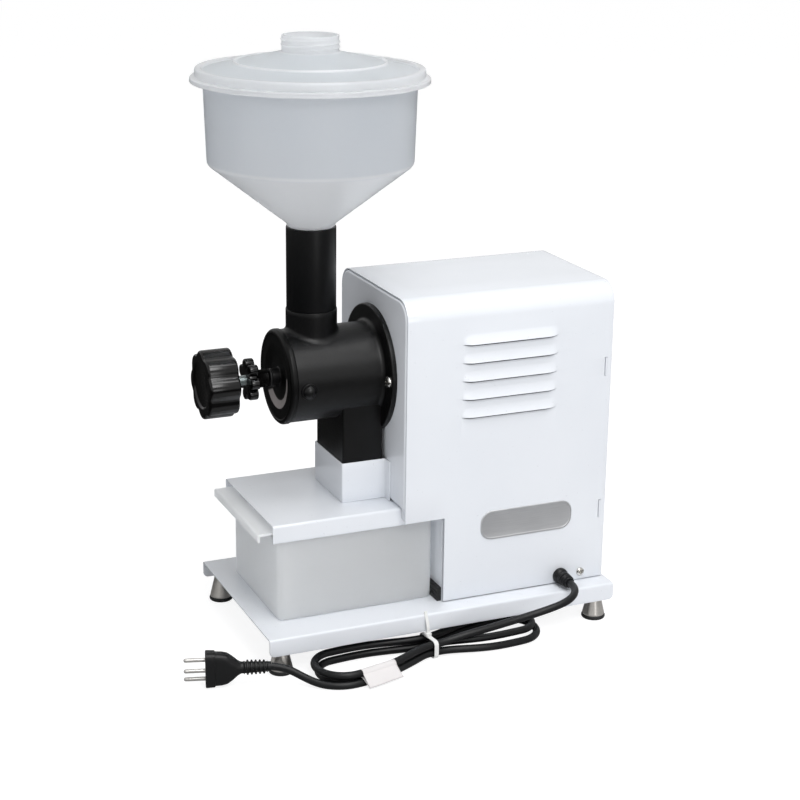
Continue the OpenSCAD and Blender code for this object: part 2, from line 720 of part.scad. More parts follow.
module lock_knob() color(black) difference() {
    union() {
        translate([0, lock_front, axis_z]) rotate([-90, 0, 0]) linear_extrude(lock_lobe_t)
            lobes(lock_r, lock_lobes, 5.2, 12.5);
        turned() polygon([[0, lock_front], [10, lock_front], [10, lock_front + lock_lobe_t],
            [8.6, lock_front + lock_lobe_t + 3], [8.6, lock_rear - 2], [7.4, lock_rear], [0, lock_rear]]);
    }
    rod_y(lock_front - 1, lock_rear + 1, stud_r + fit);
}

module hopper() color(milky) translate([0, hopper_y, 0]) rotate_extrude() polygon([
    [spout_r - hopper_t, tube_top - 22], [spout_r, tube_top - 22], [spout_r, tube_top + gap],
    [spout_r + 2, tube_top + gap], [spout_r + 2.6, tube_top + 3], [hopper_r - 3, cone_top - 3],
    [hopper_r, cone_top + 1], [hopper_r + 1.4, hopper_top - rim_t - 3],
    [hopper_r + 3.4, hopper_top - rim_t], [rim_r - 2, hopper_top - rim_t], [rim_r - 2, hopper_top - 7],
    [rim_r, hopper_top - 7], [rim_r, hopper_top - 1.2], [rim_r - 1.2, hopper_top],
    [hopper_r + 0.4, hopper_top], [hopper_r - 0.6, hopper_top - 2], [hopper_r - hopper_t, cone_top + 1.6],
    [hopper_r - hopper_t - 2.4, cone_top - 1.4], [spout_r - hopper_t, tube_top + 4.4]]);

module hopper_lid() color(milky) translate([0, hopper_y, hopper_top + gap]) rotate_extrude() polygon([
    [94, -5], [96, -5], [96, 0], [lid_rim_r, 0], [lid_rim_r, 6], [lid_rim_r - 1.5, 8], [100.5, 8],
    [99, 5.5], [71, 12.2], [70.3, 14], [68.5, 14.4], [67, 13], [30, 21.4], [mouth_r, 23], [mouth_r, 27],
    [mouth_r + 1.2, 27.8], [mouth_r + 1.2, 29.2], [mouth_r, 30], [mouth_r, 32], [mouth_r + 1.2, 32.8],
    [mouth_r + 1.2, 34.2], [mouth_r, 35], [mouth_r, lid_h - gap], [mouth_r - hopper_t, lid_h - gap],
    [mouth_r - hopper_t, 15],
    [mouth_r - hopper_t + 1, 14.4], [mouth_r - 0.2, 15], [mouth_r, 20.6], [67, 11], [94, 4.4]]);

module drawer() color(milky) {
    d = drawer_rear - drawer_front;
    mid = (drawer_rear + drawer_front) / 2;
    difference() {
        translate([0, mid, drawer_z]) linear_extrude(drawer_rim - drawer_z) round_rect(drawer_w, d, 8);
        translate([0, mid, drawer_z + drawer_t]) linear_extrude(drawer_rim)
            round_rect(drawer_w - 2 * drawer_t, d - 2 * drawer_t, 8 - drawer_t);
    }
    along_x(-drawer_w / 2 + 1.5, drawer_w / 2 - 1.5) polygon([
        [drawer_front + drawer_t, drawer_rim - 4], [drawer_front + drawer_t, ledge_top],
        [ledge_y + 1.5, ledge_top], [ledge_y, ledge_top - 1.5], [ledge_y, ledge_top - ledge_lip],
        [ledge_y + drawer_t, ledge_top - ledge_lip], [ledge_y + drawer_t, ledge_top - drawer_t],
        [drawer_front, ledge_top - drawer_t], [drawer_front, drawer_rim - 4]]);
}

module switch_body() color(black) difference() {
    union() {
        translate([-cover_w / 2 - 2, switch_at[0] - 16, switch_at[1] - 13]) cube([2, 32, 26]);
        translate([-cover_w / 2, switch_at[0] - 13.5, switch_at[1] - 10.7]) cube([24, 27, 21.4]);
    }
    translate([-cover_w / 2 - 3, switch_at[0] - 11, switch_at[1] - 9.6]) cube([13, 22, 19.2]);
    rod_y(switch_at[0] - 12.6, switch_at[0] + 12.6, trunnion_r + fit, rocker_pivot, switch_at[1]);
}

module switch_rocker() color([0.12, 0.12, 0.13])
    translate([rocker_pivot, switch_at[0], switch_at[1]]) rotate([0, -rocker_tilt, 0]) {
        along_y(-10.5, 10.5) polygon([[3, -5], [3, 5], [-5.6, 8.2], [-4.2, 0], [-5.6, -8.2]]);
        rod_y(-12.3, 12.3, trunnion_r, 0, 0);
    }

module cord_gland() color(black)
    translate([cover_in - 4, gland_at[0], gland_at[1]]) rotate([0, 90, 0]) rotate_extrude() polygon([
        [0, 0], [gland_r - 1.1, 0], [gland_r - 1.1, 4 + cover_t], [gland_r, 4 + cover_t],
        [gland_r, 7.5 + cover_t], [gland_r - 1, 9 + cover_t], [6.4, 9.4 + cover_t],
        [5.2, 26 + cover_t - eps], [0, 26 + cover_t - eps]]);

// Point of the hank after t loops, from its tie, in the hank's own directions and height
function drawn_in(u) = exp(-pow(u / waist_len, 2));
function climb(t) = let (s = max(0, min(1, (t - 0.875) / 0.25))) s * s * (3 - 2 * s);
function loop_radius(t) = fold_r + loop_step * abs(t - hank_loops / 2);
function plan(q, r, h) =
    q < 3 ? [-h * q / 3, r] :
    q < 9 ? [-h - r * sin((q - 3) * 30), r * cos((q - 3) * 30)] :
    q < 15 ? [-h + 2 * h * (q - 9) / 6, -r] :
    q < 21 ? [h + r * sin((q - 15) * 30), -r * cos((q - 15) * 30)] : [h - h * (q - 21) / 3, r];
function pull(p) = [p[0], p[1] - sign(p[1]) * waist * drawn_in(p[0])];
function on_floor(p, z) = [hank_mid[0] - p[0] * sin(hank_turn) + p[1] * cos(hank_turn),
    hank_mid[1] + p[0] * cos(hank_turn) + p[1] * sin(hank_turn), z + waist_lift * drawn_in(p[0])];
function hank_point(t) =
    let (q = loop_rings * (t - floor(t)), p = pull(plan(q, loop_radius(t), hank_half)))
    on_floor(p, cord_r + floor_gap + layer_step * (1 - climb(t)));
hank_rings = hank_loops * loop_rings;
hank_route = [for (i = [0:hank_rings]) hank_point(i / loop_rings)];

// Least distance between stretches of the hank that aren't neighbours, less one diameter
fine = 6;
hank_fine = [for (i = [0:hank_rings * fine]) hank_point(i / (loop_rings * fine))];
hank_gap = min([for (i = [0:len(hank_fine) - 1]) for (j = [i + 3 * fine:1:len(hank_fine) - 1])
    norm(hank_fine[i] - hank_fine[j])]) - cord_d;
echo(str("least gap of the hank to itself: ", hank_gap, " mm"));

// Tube of a given radius swept along a route, with rings that stay level
function unit(v) = v / norm(v);
function heading(p, i) = unit(p[min(i + 1, len(p) - 1)] - p[max(i - 1, 0)]);
module tube(route, r, sides, first = undef, last = undef) {
    n = len(route);
    points = [for (i = [0:n - 1])
        let (t = i == 0 && first != undef ? first : i == n - 1 && last != undef ? last : heading(route, i),
            a = unit(cross(t, [0, 0, 1])), b = cross(a, t))
        for (k = [0:sides - 1]) route[i] + r * (cos(360 * k / sides) * a + sin(360 * k / sides) * b)];
    walls = [for (i = [0:n - 2], k = [0:sides - 1])
        let (a = i * sides + k, b = i * sides + (k + 1) % sides)
        each [[a, b, b + sides], [a, b + sides, a + sides]]];
    end = (n - 1) * sides;
    caps = [for (k = [1:sides - 2]) each [[0, k + 1, k], [end, end + k, end + k + 1]]];
    polyhedron(points, concat(walls, caps));
}

tie_way = [sin(hank_turn), -cos(hank_turn), 0];
plug_way = [sin(plug_turn), -cos(plug_turn), 0];
tie_in = hank_point(0);
tie_out = hank_point(hank_loops);
tag_at = hank_point(0.0945);
tag_turn = 103;
tag_tilt = 30;

module cord_lead() color(black) tube(concat(lead_route, [tie_in]), cord_r, 8, [1, 0, 0], tie_way);

module cord_hank() color(black) tube(hank_route, cord_r, 6, tie_way, tie_way);

module cord_tail() color(black) tube(concat([tie_out], tail_route, [plug_at]), cord_r, 8, tie_way, plug_way);

module cable_tie() color(white)
    translate([hank_mid[0], hank_mid[1], 0]) rotate([0, 0, hank_turn]) {
        translate([2.2, 0, 9.4]) along_y(-2.3, 2.3) difference() {
            round_rect(29, 18.4, 4);
            round_rect(26.6, 16, 3);
        }
        translate([-1, 0, 18.6]) rotate([0, -4, 0]) translate([-0.6, -2, -0.6]) cube([1.2, 4, 24]);
    }

module cord_tag() color(white) translate(tag_at) rotate([tag_tilt, 0, tag_turn])
    translate([-19, -16, cord_r + 0.9]) cube([38, 21, 0.5]);

// Puts a piece drawn along -Y from its origin onto the end of the lead
module on_lead_end() {
    translate(plug_at) rotate([0, 0, plug_turn]) children();
}

module plug_body() color(black) on_lead_end() {
    rotate([90, 0, 0]) rotate_extrude() polygon([[0, 0], [5, 0], [6.4, relief_len], [0, relief_len]]);
    for (y = [4:6:22]) rotate([90, 0, 0]) translate([0, 0, y]) cylinder(h = 3, r = 6.8);
    translate([0, -relief_len, 0]) {
        along_x(-7.5, 7.5)
            polygon([[1, -7], [1, 7], [-8, 9], [-18, 16], [-24, 16], [-24, -16], [-18, -16], [-8, -9]]);
        along_y(-plug_len, -24 + eps) round_rect(17, 35.4, 6);
    }
}

module plug_pins() color(steel) on_lead_end() for (i = [-1, 0, 1])
    translate([i == 0 ? 3 : 0, -relief_len - plug_len + eps, i * pin_pitch]) rotate([90, 0, 0]) {
        cylinder(h = pin_len - pin_r, r = pin_r);
        translate([0, 0, pin_len - pin_r]) sphere(pin_r);
    }

base_plate();
feet();
foot_pads();
foot_bolts();
weld_nuts();
cover_tabs();
support_bracket();
bracket_bolts();
bracket_nuts();
drawer_stop();
shelf();
chute_collar();
front_panel();
housing_cover();
rear_panel();
cover_screws();
blank_plate();
front_end_bell();
motor_shell();
rear_end_bell();
stator_core();
stator_windings();
motor_bolts();
front_bearing();
rear_bearing();
rotor_core();
motor_shaft();
cooling_fan();
run_capacitor();
capacitor_clip();
terminal_block();
grinder_body();
flange_screws();
feed_tube();
front_cover();
guide_screw();
feed_auger();
burr_holder();
rotating_burr();
burr_carrier();
fixed_burr();
adjusting_stud();
stud_clip();
adjusting_knob();
lock_washer();
lock_knob();
hopper();
hopper_lid();
drawer();
switch_body();
switch_rocker();
cord_gland();
cord_lead();
cord_hank();
cord_tail();
cable_tie();
cord_tag();
plug_body();
plug_pins();
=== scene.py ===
# %% [markdown]
# # Dressing a bench coffee grinder
# The machine is already built as solids: its pieces, joints and sizes are fixed. This lesson gives it
# its looks. Each step says what a piece or a finish is on the real machine, how it could be made, and
# why it is made this way. Sizes are in millimetres, and turned into metres when a mesh is made.

# %% Load the fixed frame
import json
import math

import bmesh
import bpy
import numpy as np
from mathutils import Matrix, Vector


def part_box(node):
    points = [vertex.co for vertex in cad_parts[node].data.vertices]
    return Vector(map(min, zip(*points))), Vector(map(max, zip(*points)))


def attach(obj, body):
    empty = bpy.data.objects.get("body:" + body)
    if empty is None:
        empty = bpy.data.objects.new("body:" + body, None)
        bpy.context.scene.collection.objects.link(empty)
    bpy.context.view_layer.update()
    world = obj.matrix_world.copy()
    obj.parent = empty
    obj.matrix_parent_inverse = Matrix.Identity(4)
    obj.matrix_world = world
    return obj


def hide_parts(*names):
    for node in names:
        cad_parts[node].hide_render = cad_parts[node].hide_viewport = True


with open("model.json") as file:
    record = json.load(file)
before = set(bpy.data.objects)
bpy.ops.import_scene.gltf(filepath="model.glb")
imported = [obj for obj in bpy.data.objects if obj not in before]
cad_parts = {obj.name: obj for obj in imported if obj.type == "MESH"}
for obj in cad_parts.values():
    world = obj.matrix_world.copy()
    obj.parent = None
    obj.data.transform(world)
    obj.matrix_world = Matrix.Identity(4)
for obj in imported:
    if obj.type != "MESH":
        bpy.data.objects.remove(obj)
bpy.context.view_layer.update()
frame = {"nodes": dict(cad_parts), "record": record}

MM = 0.001
record = frame["record"]
BODY_OF = {node: body for body, nodes in record["behaviour"]["bodies"].items() for node in nodes}


def span(node):
    """Lowest and highest corner of a node, in millimetres."""
    return np.array([list(corner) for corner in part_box(node)]) / MM


print("frame:", len(frame["nodes"]), "nodes,", len(BODY_OF), "of them on bodies")

# %% [markdown]
# ## The camera
# A camera is fitted to the straight edges of the housing and to the round rims: its place,
# three turns and a focal length in pixels. The lens is the focal length scaled to the sensor's width.

# %% Camera
CAMERA_AT = (1570.4, -678.8, 773.8)
YAW, PITCH, ROLL = (math.radians(angle) for angle in (66.44, 17.80, 0.71))
FOCAL_PIXELS, PICTURE_PIXELS, SENSOR = 1826.44, 800, 36
CLIP_NEAR, CLIP_FAR = 0.05, 50


def aim(yaw, pitch, roll):
    """Turn of a camera: forward from yaw and pitch, then right and up rolled about forward."""
    forward = np.array([-math.sin(yaw) * math.cos(pitch), math.cos(yaw) * math.cos(pitch),
                        -math.sin(pitch)])
    level = np.array([math.cos(yaw), math.sin(yaw), 0.0])
    upright = np.cross(level, forward)
    right = math.cos(roll) * level + math.sin(roll) * upright
    up = math.cos(roll) * upright - math.sin(roll) * level
    return Matrix(np.column_stack([right, up, -forward]).tolist()).to_4x4()


camera = bpy.data.objects.new("camera", bpy.data.cameras.new("camera"))
camera.data.sensor_width = SENSOR
camera.data.lens = FOCAL_PIXELS * SENSOR / PICTURE_PIXELS
camera.data.clip_start, camera.data.clip_end = CLIP_NEAR, CLIP_FAR
camera.matrix_world = Matrix.Translation([c * MM for c in CAMERA_AT]) @ aim(YAW, PITCH, ROLL)
bpy.context.collection.objects.link(camera)
bpy.context.scene.camera = camera
print("camera lens:", round(camera.data.lens, 2), "mm")

# %% [markdown]
# ## Surfaces from grids
# Nearly everything on the machine is bent sheet, a turned part or a moulding. Each of those is one rule
# with two parameters, such as an angle and a height, so its points come out of numpy as one array. A
# grid of points then becomes quads, and poles and seams are closed by merging points that coincide.

# %% Grids
def patch(grid, loop_rows=False, loop_columns=False, keep=None):
    """Points and quads of a grid of shape (rows, columns, 3). A quad joins (i, j), (i, j + 1),
    (i + 1, j + 1) and (i + 1, j). Loops join the last row or column to the first. keep masks quads."""
    rows, columns = grid.shape[:2]
    i = np.arange(rows if loop_rows else rows - 1)[:, None]
    j = np.arange(columns if loop_columns else columns - 1)[None, :]
    below, beside = (i + 1) % rows, (j + 1) % columns
    corners = (i * columns + j, i * columns + beside, below * columns + beside, below * columns + j)
    quads = np.stack(np.broadcast_arrays(*corners), -1)
    quads = quads.reshape(-1, 4) if keep is None else quads[keep]
    return grid.reshape(-1, 3), quads


def full_turn(sides):
    """Angles of the points of a ring, once round."""
    return np.linspace(0, 2 * np.pi, sides, endpoint=False)


def quarter_round(radius, steps=6):
    """A round edge between two faces, from the first to the second: how far each of its points lies in
    from the second face, r (1 - sin a), and from the first, r (1 - cos a)."""
    a = np.linspace(0, np.pi / 2, steps)
    return radius * (1 - np.sin(a)), radius * (1 - np.cos(a))


print("a grid of 4 x 6 points has", len(patch(np.zeros((4, 6, 3)))[1]), "quads")


# %% Outlines
def smoothstep(x):
    """Rises from 0 to 1 as x does, level at both ends: x * x * (3 - 2 x)."""
    x = np.clip(x, 0, 1)
    return x * x * (3 - 2 * x)


def soften(corners, cut=None, steps=5, loop=True):
    """Rounds an outline of (a, b, cut), or of (a, b) with one cut for all. A corner P becomes the curve
    (1-t)(1-t) A + 2t(1-t) P + tt B, where A and B lie one cut away from P along its two edges."""
    corners = np.asarray(corners, float)
    if cut is None:
        corners, cut = corners[:, :2], corners[:, 2:]
    back, ahead = np.roll(corners, 1, 0) - corners, np.roll(corners, -1, 0) - corners
    back_length, ahead_length = (np.linalg.norm(way, axis=1, keepdims=True) for way in (back, ahead))
    reach = np.minimum(cut, 0.49 * np.minimum(back_length, ahead_length))
    start, end = corners + back / back_length * reach, corners + ahead / ahead_length * reach
    if not loop:
        start[[0, -1]] = end[[0, -1]] = corners[[0, -1]]
    t = np.linspace(0, 1, steps)[None, :, None]
    curve = (1 - t) ** 2 * start[:, None] + 2 * t * (1 - t) * corners[:, None] + t ** 2 * end[:, None]
    return curve.reshape(-1, 2)


def round_outline(half_w, half_h, radius, steps=8):
    """Rectangle with round corners about the origin: four quarter circles joined by straight runs."""
    a = np.linspace(0, np.pi / 2, steps)[None, :] + np.arange(4)[:, None] * np.pi / 2
    sx, sy = np.array([1, -1, -1, 1])[:, None], np.array([1, 1, -1, -1])[:, None]
    x = sx * (half_w - radius) + radius * np.cos(a)
    y = sy * (half_h - radius) + radius * np.sin(a)
    return np.stack([x.ravel(), y.ravel()], -1)


print("a rounded square has", len(round_outline(1, 1, 0.2)), "points")

# %% Turned and stacked surfaces
ACROSS, BACK, UP = (1, 0, 0), (0, 1, 0), (0, 0, 1)


def axes_for(axis):
    """Two directions square to an axis, so that u x v = axis."""
    axis = np.asarray(axis, float)
    u = np.array([1.0, 0, 0]) if abs(axis[0]) < 0.9 else np.array([0, 1.0, 0])
    v = np.cross(axis, u)
    return np.cross(v, axis), v, axis


def spun(radius, height, centre, axis, sides=96):
    """Surface of revolution: radius r and height h, arrays of (rows) or (rows, sides), give
    centre + h axis + r (cos a u + sin a v) at each angle a."""
    u, v, w = axes_for(axis)
    a = full_turn(sides)[None, :, None]
    radius, height = (np.asarray(x, float).reshape(len(x), -1, 1) for x in (radius, height))
    return np.asarray(centre, float) + height * w + radius * (np.cos(a) * u + np.sin(a) * v)


def turned(profile, centre, axis, sides=96):
    """A closed profile of (radius, height) turned about an axis."""
    return patch(spun(profile[:, 0], profile[:, 1], centre, axis, sides), True, True)


def stacked(outlines, levels, axis):
    """Flat outlines in a row along an axis. An outline gives two coordinates of its points, and its
    level, one number for all or one for each point, gives the third."""
    outlines = np.asarray(outlines, float)
    grid = np.empty((*outlines.shape[:2], 3))
    grid[..., np.arange(3) != axis] = outlines
    grid[..., axis] = [np.broadcast_to(level, outlines.shape[1]) for level in levels]
    return grid


def solid(rings):
    """A stack of rings closed at both ends, each by a ring whose points all lie in the end's middle."""
    ends = rings[[0, -1]].mean(1, keepdims=True).repeat(rings.shape[1], 1)
    return patch(np.concatenate([ends[:1], rings, ends[1:]]), False, True)


def bar(outline, start, end):
    """An outline of (y, z) carried straight along x, closed by a flat face at each end."""
    rings = stacked([outline, outline], (start, end), 0)
    caps = [(ring, np.arange(len(outline))[None]) for ring in rings]
    return [patch(rings, False, True), *caps]


print("a turned square has", len(turned(round_outline(1, 1, 0.2) + [5, 0], (0, 0, 0), UP)[1]), "quads")

# %% Pieces
MERGE = 0.004


def piece(name, patches, finish, *nodes, closed=True, sharp=32):
    """One mesh object from patches: points merged, normals outwards, smooth below the sharp angle. It
    takes a finish, rides on the body of the nodes that it stands for, and hides them."""
    points, faces, count = [], [], 0
    for spots, corners in patches:
        points.append(spots)
        faces.extend((corners + count).tolist())
        count += len(spots)
    mesh = bpy.data.meshes.new(name)
    mesh.from_pydata((np.concatenate(points) * MM).tolist(), [], faces)
    shape = bmesh.new()
    shape.from_mesh(mesh)
    bmesh.ops.remove_doubles(shape, verts=shape.verts, dist=MERGE * MM)
    bmesh.ops.dissolve_degenerate(shape, edges=shape.edges, dist=MERGE * MM / 4)
    if closed:
        bmesh.ops.recalc_face_normals(shape, faces=shape.faces)
    shape.to_mesh(mesh)
    shape.free()
    mesh.shade_smooth()
    mesh.set_sharp_from_angle(angle=math.radians(sharp))
    mesh.materials.append(finish)
    made = bpy.data.objects.new(name, mesh)
    bpy.context.collection.objects.link(made)
    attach(made, BODY_OF[nodes[0]])
    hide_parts(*nodes)
    print(name, len(mesh.polygons), "faces on", BODY_OF[nodes[0]])
    return made


print("points closer than", MERGE, "mm are merged")

# %% [markdown]
# ## Finishes as sums
# A finish is one shader with a few textures added up. A small class wraps a socket so that sums can be
# written as sums, and one method adds any other node. All textures read Object coordinates, so they sit
# still on a piece when it moves.

# %% Sockets and nodes
def operator(operation, swap=False):
    """A method that adds a Math node for one operator."""
    def method(self, other):
        first, second = (other, self) if swap else (self, other)
        return self.nodes.node("ShaderNodeMath", {"operation": operation}, {0: first, 1: second})
    return method


class Socket:
    """An output that can stand in a sum."""

    def __init__(self, nodes, output):
        self.nodes, self.output = nodes, output

    __add__ = __radd__ = operator("ADD")
    __mul__ = __rmul__ = operator("MULTIPLY")
    __sub__, __rsub__ = operator("SUBTRACT"), operator("SUBTRACT", True)
    __pow__ = operator("POWER")


class Nodes:
    """A node tree: one method adds any node, with its settings first and then values or links."""

    def __init__(self, tree):
        self.tree = tree

    def node(self, kind, settings=None, sockets=None, out=0):
        made = self.tree.nodes.new(kind)
        for key, value in (settings or {}).items():
            setattr(made, key, value)
        self.join(made, sockets or {})
        return Socket(self, made.outputs[out])

    def join(self, node, sockets):
        for key, value in sockets.items():
            if isinstance(value, Socket):
                self.tree.links.new(value.output, node.inputs[key])
            else:
                node.inputs[key].default_value = value

    def rays(self, kind):
        """1 for rays of a kind, such as Camera, and 0 for others."""
        return self.node("ShaderNodeLightPath", out="Is " + kind + " Ray")


print("a node tree can:", *[name for name in vars(Nodes) if name[0] != "_"])


# %% Finish class
class Finish(Nodes):
    """A material with one Principled shader, whose fixed values are set on its own sockets."""

    def __init__(self, name, fixed):
        self.material = bpy.data.materials.new(name)
        self.material.use_nodes = True
        super().__init__(self.material.node_tree)
        self.shader = self.tree.nodes["Principled BSDF"]
        self.join(self.shader, fixed)
        self.place = self.node("ShaderNodeTexCoord", out="Object")

    def shade(self, color, roughness, normal):
        """Links what varies to the shader, and hands back the material."""
        self.join(self.shader, {"Base Color": color, "Roughness": roughness, "Normal": normal})
        return self.material

    def cover(self, share, over, under=None):
        """Lays a share of another shader over the shader, or over one given, and shows the result."""
        under = under or Socket(self, self.shader.outputs[0])
        both = self.node("ShaderNodeMixShader", {}, {0: share, 1: under, 2: over})
        self.join(self.tree.nodes["Material Output"], {"Surface": both})
        return both

    def noise(self, scale, detail, stretch=(1, 1, 1)):
        """Cloudy values of a given scale per metre, stretched along the axes."""
        where = self.node("ShaderNodeMapping", {}, {"Vector": self.place, "Scale": stretch})
        return self.node("ShaderNodeTexNoise", {}, {"Vector": where, "Scale": scale, "Detail": detail})

    def above(self, value, low, high):
        """0 below low, 1 above high, straight between."""
        return self.node("ShaderNodeMapRange", {"clamp": True},
                         {"Value": value, "From Min": low, "From Max": high})

    def past(self, place, low, high):
        """The same for a coordinate in metres, with its limits in millimetres."""
        return self.above(place, low * MM, high * MM)

    def blend(self, share, first, second):
        """Mixes two colours."""
        return self.node("ShaderNodeMix", {"data_type": "RGBA"}, {0: share, 6: first, 7: second}, out=2)

    def bump(self, height, strength, depth):
        """Normals from a height in millimetres of depth."""
        return self.node("ShaderNodeBump", {},
                         {"Height": height, "Strength": strength, "Distance": depth * MM})

    def axis(self, name, zero=0):
        """One Object coordinate in metres, counted from a zero in millimetres."""
        place = self.node("ShaderNodeSeparateXYZ", {}, {"Vector": self.place}, out=name)
        return place - zero * MM if zero else place


print("a finish can also:", *[name for name in vars(Finish) if name[0] != "_"])


# %% Distance and colour
def away(x, y):
    """Distance from where two coordinates are zero: the root of x x + y y."""
    return (x * x + y * y) ** 0.5


def tint(code):
    """A linear colour from the usual six hexadecimal digits."""
    shares = np.array([int(code[k:k + 2], 16) for k in (0, 2, 4)]) / 255
    linear = np.where(shares <= 0.04045, shares / 12.92, ((shares + 0.055) / 1.055) ** 2.4)
    return (*linear.tolist(), 1.0)


print("middle grey is", round(tint("808080")[0], 3), "in linear light")

# %% [markdown]
# ## Painted sheet and castings
# The sheet is powder coated: a hard white gloss with a faint orange peel, a little duller where hands
# and cloths go. The castings have satin black paint over a sandy skin, so the bump is coarser and the
# sheen is broken up. Neither is a flat colour, yet the changes are small, because the machine is new.

# %% Paints
def white_powder_coat():
    """White gloss: orange peel in the bump, slow clouds in colour and roughness, a few dust specks."""
    f = Finish("white_powder_coat", {"IOR": 1.5, "Coat Weight": 0.15, "Coat Roughness": 0.08})
    peel, clouds = f.noise(650, 1), f.noise(9, 3)
    specks = f.above(f.noise(420, 1), 0.74, 0.80)
    tone = f.blend(clouds, tint("e2e6ec"), tint("ebeef3"))
    tone = f.blend(specks * 0.18, tone, tint("8f9296"))
    return f.shade(tone, 0.15 + clouds * 0.1, f.bump(peel, 0.12, 0.12))


def satin_black(name, dark, light, grain, depth, gloss):
    """Black paint on a rough skin: sandy bump, grey where the skin stands proud."""
    f = Finish(name, {"IOR": 1.5, "Specular IOR Level": 0.32})
    sand, clouds = f.noise(grain, 3), f.noise(26, 3)
    tone = f.blend(clouds * 0.5 + sand * 0.5, tint(dark), tint(light))
    return f.shade(tone, gloss + sand * 0.12 + clouds * 0.08, f.bump(sand, 0.35, depth))


PAINT = white_powder_coat()
CASTING = satin_black("satin_black_casting", "030304", "0a0a0b", 520, 0.4, 0.28)
TUBE_BLACK = satin_black("satin_black_tube", "020203", "060709", 800, 0.12, 0.28)
ENAMEL = satin_black("dark_grey_enamel", "2c2e32", "3c3f44", 500, 0.2, 0.35)
print("paints:", PAINT.name, CASTING.name, TUBE_BLACK.name, ENAMEL.name)

# %% [markdown]
# ## Metals
# Bare metal shows how it was worked. Turned feet have fine rings, so their noise is stretched round the
# axis by squeezing height. Brushed plate has streaks along its length. Plated screws and the stud are
# bright, with a faint blue or straw tint that drifts over the surface.

# %% Metals
EVEN, RINGS, STACK = (1, 1, 1), (0.05, 0.05, 1), (0.02, 1, 0.02)


def lengthwise(squeeze):
    """Stretch of noise into streaks along Y."""
    return 1, squeeze, 1


def worked_metal(name, low, high, streak, scale, rough, spread, depth=0.02):
    """Bare metal: streaks from noise stretched by the tool's path, in colour, roughness and bump."""
    f = Finish(name, {"Metallic": 1.0})
    lines, clouds = f.noise(scale, 2, streak), f.noise(30, 2)
    tone = f.blend(lines * 0.6 + clouds * 0.4, tint(low), tint(high))
    return f.shade(tone, rough + lines * spread + clouds * 0.06, f.bump(lines, 0.25, depth))


TURNED_STEEL = worked_metal("turned_stainless", "c2beb8", "e9e6e1", RINGS, 1300, 0.24, 0.06, 0.003)
PLATE_METAL = worked_metal("brushed_plate", "cccdd0", "eaebec", lengthwise(0.03), 1500, 0.4, 0.16)
NICKEL = worked_metal("bright_nickel", "c6c4bf", "e6e4e0", EVEN, 300, 0.1, 0.1)
PIN_BRASS = worked_metal("plated_pin", "bdbbb7", "dedcd9", lengthwise(0.1), 900, 0.28, 0.12)
ZINC = worked_metal("bright_zinc", "a9b4b6", "dbe1e0", EVEN, 140, 0.28, 0.14)
GROUND_STEEL = worked_metal("ground_steel", "8f9195", "c4c6c9", lengthwise(0.05), 900, 0.22, 0.2)
CAST_ALUMINIUM = worked_metal("cast_aluminium", "97999c", "bcbec0", EVEN, 380, 0.36, 0.2, 0.1)
LAMINATION = worked_metal("stacked_laminations", "4c4c50", "7c7c80", STACK, 1400, 0.4, 0.2, 0.2)
COPPER = worked_metal("varnished_copper", "8a4a22", "c98654", lengthwise(0.15), 1200, 0.25, 0.2, 0.3)
BURR_STEEL = worked_metal("hardened_burr", "434347", "77777c", EVEN, 500, 0.3, 0.25, 0.05)
print("metals:", TURNED_STEEL.name, PLATE_METAL.name, NICKEL.name, ZINC.name)

# %% [markdown]
# ## Plastics, rubber and paper
# The knobs are pressed from black phenolic, glossy with faint swirls. The hopper, lid and drawer are
# natural polypropylene: milky, because light scatters in the wall, so the shader mixes rough
# transmission with light that soaks through from behind. Hopper and lid have a soft gloss as well. Lead,
# plug and pads are soft black vinyl and rubber with a dull sheen.

# %% Plastics
def moulded(name, low, high, rough, grain=700, depth=0.03, shine=0.5):
    """Opaque moulding: swirls in colour, a fine skin in roughness and bump."""
    f = Finish(name, {"IOR": 1.48, "Specular IOR Level": shine})
    swirl, skin = f.noise(38, 3), f.noise(grain, 2)
    tone = f.blend(swirl, tint(low), tint(high))
    return f.shade(tone, rough + skin * 0.1 + swirl * 0.05, f.bump(skin, 0.3, depth))


def milky_plastic(name, low, high, through, rough, soak, thick=None, coat=0.0):
    """Natural polypropylene: flow clouds in colour, a soft skin, a coat for its gloss, and light let
    through the wall. Where the wall is thick, it is whiter; thick gives that share from the finish, and
    on the hopper that share also paints in light let through the cone."""
    f = Finish(name, {"IOR": 1.3, "Transmission Weight": through, "Coat Weight": coat,
                      "Coat Roughness": 0.16})
    flow, skin = f.noise(14, 2, (1, 1, 0.3)), f.noise(500, 2)
    tone = f.blend(flow, tint(low), tint(high))
    if thick:
        tone = f.blend(thick(f), tone, tint("fdfdfe"))
    f.cover(soak, f.node("ShaderNodeBsdfTranslucent", {}, {"Color": tint("fbfcfd")}))
    return f.shade(tone, rough + flow * 0.1 + skin * 0.05, f.bump(skin, 0.2, 0.03))


PHENOLIC = moulded("black_phenolic", "030303", "080707", 0.1)
VINYL = moulded("black_vinyl", "050607", "0d0e10", 0.32, 1200, 0.05, 0.35)
RUBBER = moulded("black_rubber", "121213", "1f1f20", 0.55, 900, 0.1)
NYLON = moulded("white_nylon", "dfe0df", "f0f0ee", 0.35)
CAN_PLASTIC = moulded("white_can", "c2c2be", "d6d6d2", 0.4)
PAPER = moulded("blank_paper", "dcd8d8", "e8e5e5", 0.6, 1500, 0.04)
DRAWER_PLASTIC = milky_plastic("milky_drawer", "f8f9f9", "fdfdfd", 0.55, 0.32, 0.55)
print("plastics:", PHENOLIC.name, VINYL.name, RUBBER.name, NYLON.name, DRAWER_PLASTIC.name)
